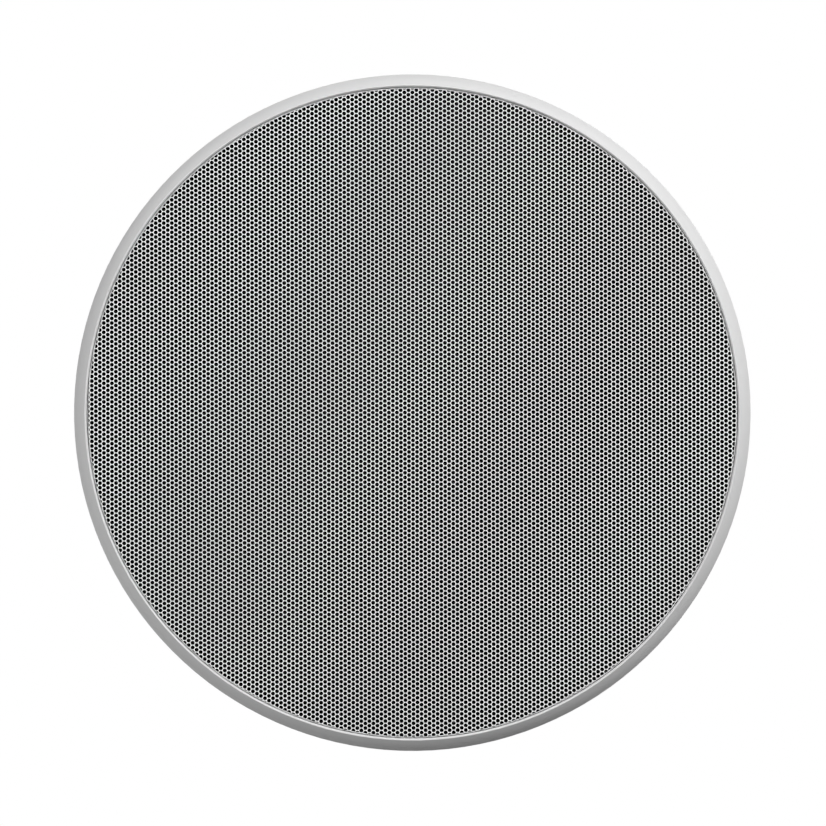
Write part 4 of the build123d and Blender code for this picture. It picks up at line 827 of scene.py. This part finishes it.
@dataclass
class ClampScrew:
    """Long threaded clamp screw with a round head and a cross recess."""

    pitch: float = 1.4 * MM
    root: float = 1.55 * MM
    shank: float = 2.0 * MM
    flank: float = 0.95  # how steeply the thread's flanks rise
    columns: int = 20
    rows_per_turn: int = 6
    thread_crease: float = 0.9
    plain_neck: float = 4.0 * MM
    tail: float = 1.2 * MM
    tail_taper: float = 0.35 * MM
    head_height: float = 3.0 * MM
    head_edge: float = 1.1 * MM
    head_columns: int = 64
    face_rings: int = 16
    edge_steps: int = 5
    hub: float = 0.05  # share of the head's radius where its rings begin
    recess_depth: float = 1.6 * MM
    recess_width: float = 0.55 * MM
    recess_slope: float = 0.3 * MM
    recess_length: float = 2.1 * MM
    recess_floor: float = 0.8  # share of the full depth at which the recess is level

    def build(self, number: int) -> list[bpy.types.Object]:
        """Build one screw's thread and head.

        Args:
            number: Number of the clamp.

        Returns:
            The two pieces.
        """
        node = f"clamp_screw_{number}"
        low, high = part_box(node)
        middle = np.array([(low.x + high.x) / 2, (low.y + high.y) / 2])
        pieces = [self.thread(node, middle, low.z + self.head_height, high.z),
                  self.head(node, middle, low.z, (high.x - low.x) / 2)]
        for piece in pieces:
            dress(piece, "screw_zinc")
            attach(piece, node)
            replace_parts(piece, node)
        return pieces

    def thread(self, node: str, middle: np.ndarray, start: float, end: float) -> bpy.types.Object:
        """Threaded shank.

        At height z and angle a, the phase is the height in turns less the angle in turns. The radius swings
        between root and crest with a flattened cosine of the phase, and fades to the plain shank near the
        head and to the root at the tail.

        Args:
            node: The CAD node's name.
            middle: The axis.
            start: Level under the head.
            end: Level of the tail.

        Returns:
            The piece.
        """
        rows = int((end - start) / self.pitch * self.rows_per_turn)
        height = np.linspace(start, end, rows)[:, None]
        angle = ring_angles(self.columns)
        wave = np.cos(math.tau * (height / self.pitch) - angle)
        crest = np.clip(0.5 + self.flank * wave, 0, 1)
        ramp = np.clip((height - start - self.plain_neck) / self.pitch, 0, 1)
        taper = np.clip((end - height) / self.tail, 0, 1)
        depth = self.shank - self.root
        radius = self.shank - depth * ramp * (1 - crest * taper) - self.tail_taper * (1 - taper) ** 2
        points = around(radius, angle, height, middle)
        return closed_tube(f"{node}_thread", points, self.columns, crease=self.thread_crease)

    def head(self, node: str, middle: np.ndarray, level: float, radius: float) -> bpy.types.Object:
        """Round head with a cross recess.

        Rings of points go from the middle of the front over the rounded edge to the neck; on the front, the
        height sinks along the two arms of a cross, deepest at the middle.

        Args:
            node: The CAD node's name.
            middle: The axis.
            level: Level of the head's front.
            radius: Radius of the head.

        Returns:
            The piece.
        """
        flat_end = radius - self.head_edge
        turn = np.linspace(0, math.pi / 2, self.edge_steps + 1)[1:]
        reach = np.concatenate([np.linspace(self.hub * radius, flat_end, self.face_rings),
                                flat_end + self.head_edge * np.sin(turn), [radius, self.shank]])[:, None]
        height = np.concatenate([np.zeros(self.face_rings), self.head_edge * (1 - np.cos(turn)),
                                 [self.head_height, self.head_height]])[:, None]
        angle = ring_angles(self.head_columns)
        x, y = np.abs(reach * np.cos(angle)), np.abs(reach * np.sin(angle))
        arm = (np.clip((self.recess_width - np.minimum(x, y)) / self.recess_slope, 0, 1)
               * np.clip(1 - np.maximum(x, y) / self.recess_length, 0, 1))
        sunk = self.recess_depth * np.minimum(arm, self.recess_floor) / self.recess_floor
        sunk[self.face_rings - 1:] = 0
        points = around(reach, angle, level + height + sunk, middle)
        return closed_tube(f"{node}_head", points, self.head_columns)


@dataclass
class InductorWinding:
    """Enamelled copper wire wound on the inductor's bobbin."""

    wire: float = 0.85 * MM
    bore: float = 5.2 * MM
    columns: int = 64
    wire_steps: int = 7
    fullness: float = 0.97  # share of a wire's half circle that shows between its neighbours
    crease: float = 1.2

    def build(self) -> bpy.types.Object:
        """Build the winding.

        Along the bobbin's axis, which is y, the outer radius rises over each turn as a half circle of the
        wire's radius; the turns shift by one wire in each round, as a helix does.

        Returns:
            The piece.
        """
        low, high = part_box("inductor_winding")
        outer, half = (high.x - low.x) / 2, self.wire / 2
        middle = ((high.x + low.x) / 2, (high.z + low.z) / 2)
        turns = (high.y - low.y) / self.wire
        rows = int(turns * self.wire_steps) + 1
        along = np.linspace(0, turns, rows)[None]
        angle = ring_angles(self.columns).T
        across = 2 * ((along - angle / math.tau) % 1) - 1
        bulge = half * np.sqrt(np.clip(1 - (self.fullness * across) ** 2, 0, 1))
        radius = np.concatenate([outer - half + bulge, np.full((self.columns, 2), self.bore)], 1)
        place = np.concatenate([along[0] * self.wire, [along[0, -1] * self.wire, 0]])[None] + low.y
        points = around(radius, angle, place, middle)[:, [0, 2, 1]]
        faces = grid_faces(self.columns, rows + 2, closed=True)
        piece = dress(put_mesh("inductor_wire", points, [faces], self.crease), "copper")
        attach(piece, ROOT_BODY)
        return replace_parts(piece, "inductor_winding")


@dataclass
class CapacitorEnds:
    """Bare metal ends of the two capacitors, scored with a cross, inside the turned-over edge of the sleeve."""

    diameters: tuple[float, float] = (13.0 * MM, 10.0 * MM)
    lengths: tuple[float, float] = (24.0 * MM, 20.0 * MM)
    sleeve: float = 1.2 * MM
    rise: float = 0.12 * MM
    edge_power: int = 12  # the higher, the flatter the disc and the tighter its edge
    score: float = 0.3 * MM
    score_depth: float = 0.7  # share of the rise
    score_share: float = 0.62  # length of an arm as a share of the radius
    columns: int = 48
    rings: int = 12
    hub: float = 0.06  # share of the radius where the rings begin

    def build(self) -> list[bpy.types.Object]:
        """Build the ends; the larger capacitor lies above the smaller one, and both rest against the board.

        Returns:
            The pieces.
        """
        low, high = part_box("capacitors")
        levels = (high.z - self.diameters[0] / 2, low.z + self.diameters[1] / 2)
        pieces = []
        for number, (diameter, length, level) in enumerate(zip(self.diameters, self.lengths, levels)):
            middle = np.array([low.x + length, high.y - diameter / 2, level])
            piece = self.end(f"capacitor_end_{number + 1}", middle, diameter / 2 - self.sleeve)
            dress(piece, "screw_zinc")
            pieces.append(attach(piece, ROOT_BODY))
        return pieces

    def end(self, name: str, middle: np.ndarray, radius: float) -> bpy.types.Object:
        """Build one end.

        Rings of points go out from the middle of a flat disc, over its rounded edge and back below the face
        that carries it; the disc sinks by most of its rise along the two arms of a cross.

        Args:
            name: The piece's name.
            middle: Middle of the capacitor's end face, which looks along x.
            radius: Radius of the disc.

        Returns:
            The piece.
        """
        share = np.append(np.linspace(self.hub, 1, self.rings), [1.0, self.hub])[:, None]
        angle = ring_angles(self.columns)
        y, z = np.abs(radius * share * np.cos(angle)), np.abs(radius * share * np.sin(angle))
        arm = np.clip(2 - 2 * np.minimum(y, z) / self.score, 0, 1) * (np.maximum(y, z) < self.score_share * radius)
        height = self.rise * np.sqrt(1 - share**self.edge_power) - self.score_depth * self.rise * arm
        height[self.rings:] = -self.rise
        points = around(radius * share, angle, middle[0] + height, middle[1:])[:, [2, 0, 1]]
        return closed_tube(name, points, self.columns, flip=True)


# ---------------------------------------------------------------- studio


@dataclass(frozen=True)
class Lamp:
    """Square soft lamp that faces the speaker."""

    name: str
    tilt: float  # degrees from straight down
    turn: float  # degrees in the picture
    distance: float
    size: float
    level: float  # brightness that it gives to white

    def build(self) -> None:
        """Hang the lamp.

        A matt white surface that faces it renders at the stated level: the power is the level times pi squared
        times the square of the distance.
        """
        tilt, turn = math.radians(self.tilt), math.radians(self.turn)
        direction = np.array([math.sin(tilt) * math.cos(turn), -math.sin(tilt) * math.sin(turn), -math.cos(tilt)])
        data = bpy.data.lights.new(self.name, "AREA")
        data.size = self.size
        data.energy = self.level * (math.pi * self.distance) ** 2
        lamp = bpy.data.objects.new(self.name, data)
        lamp.location = direction * self.distance
        lamp.rotation_mode = "QUATERNION"
        lamp.rotation_quaternion = (-lamp.location).to_track_quat("-Z", "Y")
        lamp.visible_camera = False
        bpy.context.scene.collection.objects.link(lamp)


@dataclass
class Studio:
    """Camera, lamps, world and floor."""

    frame_width: float = 0.28453
    lens: float = 300.0
    sensor: float = 36.0
    shift: tuple[float, float] = (0.0008, -0.00042)
    clip_end: float = 50.0
    lamps: tuple[Lamp, ...] = (
        Lamp("key_lamp", 50.0, 44.0, 1.6, 1.1, 0.96),
        Lamp("side_lamp", 47.0, 174.0, 1.6, 0.9, 0.405),
        Lamp("front_lamp", 0.0, 0.0, 2.2, 0.8, 0.045),
        Lamp("rear_lamp_1", 154.0, 45.0, 1.3, 0.5, 0.55),
        Lamp("rear_lamp_2", 154.0, 225.0, 1.3, 0.5, 0.4),
    )
    ambient: float = 0.055
    floor_level: float = -2.7
    floor_radius: float = 4.0
    floor_sides: int = 96
    floor_grey: float = 0.8
    floor_roughness: float = 0.9
    floor_glow: float = 0.9  # share of plain white in what is seen of the floor

    def build(self) -> None:
        """Set up everything that isn't part of the speaker."""
        self.camera()
        for lamp in self.lamps:
            lamp.build()
        self.world()
        self.floor()
        bpy.context.scene.view_settings.view_transform = "Standard"

    def camera(self) -> None:
        """Look straight up at the grille, the crossover's side at the bottom of the picture."""
        data = bpy.data.cameras.new("camera")
        data.lens = self.lens
        data.sensor_width = self.sensor
        data.clip_end = self.clip_end
        data.shift_x, data.shift_y = self.shift
        camera = bpy.data.objects.new("camera", data)
        camera.location = (0, 0, -self.frame_width * self.lens / self.sensor)
        camera.rotation_euler = (math.pi, 0, 0)
        bpy.context.scene.collection.objects.link(camera)
        bpy.context.scene.camera = camera

    @staticmethod
    def seen(tree: bpy.types.NodeTree) -> bpy.types.NodeSocket:
        """A value that is 1 for what the camera sees directly, in a mirror or through glass.

        Args:
            tree: The tree of a material or the world.

        Returns:
            The output that gives it.
        """
        path = add_node(tree, "LightPath", {}).outputs
        total = path["Is Camera Ray"]
        for label in ("Is Glossy Ray", "Is Transmission Ray"):
            total = add_node(tree, "Math", {0: total, 1: path[label]}, operation="MAXIMUM").outputs["Value"]
        return total

    def world(self) -> None:
        """White where it is seen, and a plain grey fill for everything it lights."""
        world = bpy.data.worlds.new("studio")
        world.use_nodes = True
        bpy.context.scene.world = world
        tree = world.node_tree
        level = add_node(tree, "MapRange", {"Value": self.seen(tree), "To Min": self.ambient, "To Max": 1.0})
        feed(tree, tree.nodes["Background"], {"Color": (1, 1, 1, 1), "Strength": level.outputs["Result"]})

    def floor(self) -> None:
        """A pale round floor far below, nearly white where it is seen, which keeps a faint shadow."""
        points = around(self.floor_radius, ring_angles(self.floor_sides), self.floor_level)
        floor = put_mesh("floor", points, [np.arange(self.floor_sides)[None]])
        material = bpy.data.materials.new("floor_pale")
        material.use_nodes = True
        tree = material.node_tree
        shader = tree.nodes["Principled BSDF"]
        feed(tree, shader, {"Base Color": (*[self.floor_grey] * 3, 1.0), "Roughness": self.floor_roughness})
        glow = add_node(tree, "Emission", {})
        part = add_node(tree, "Math", {0: self.seen(tree), 1: self.floor_glow}, operation="MULTIPLY")
        mix = add_node(tree, "MixShader", {"Fac": part.outputs["Value"], 1: shader.outputs["BSDF"],
                                           2: glow.outputs["Emission"]})
        feed(tree, tree.nodes["Material Output"], {"Surface": mix.outputs["Shader"]})
        floor.data.materials.append(material)


def dress_nodes() -> None:
    """Give every CAD node the finish of its slot."""
    slots = {row["node"]: row["material_slot"] for row in frame["record"]["subparts"]}
    for name, node in frame["nodes"].items():
        node.data.materials.clear()
        node.data.materials.append(MATERIALS[slots[name]])


def main() -> None:
    """Dress the speaker and set up the studio."""
    logging.basicConfig(level=logging.INFO, format="%(message)s")
    dress_nodes()
    screws = [piece for number in range(CLAMP_COUNT) for piece in ClampScrew().build(number + 1)]
    for piece in [*Grille().build(), Scrim().build(), *Surround().build(), *Spider().build(), *screws,
                  InductorWinding().build(), *CapacitorEnds().build()]:
        LOG.info("%s: %d faces", piece.name, len(piece.data.polygons))
    Studio().build()


if __name__ == "__main__":
    main()
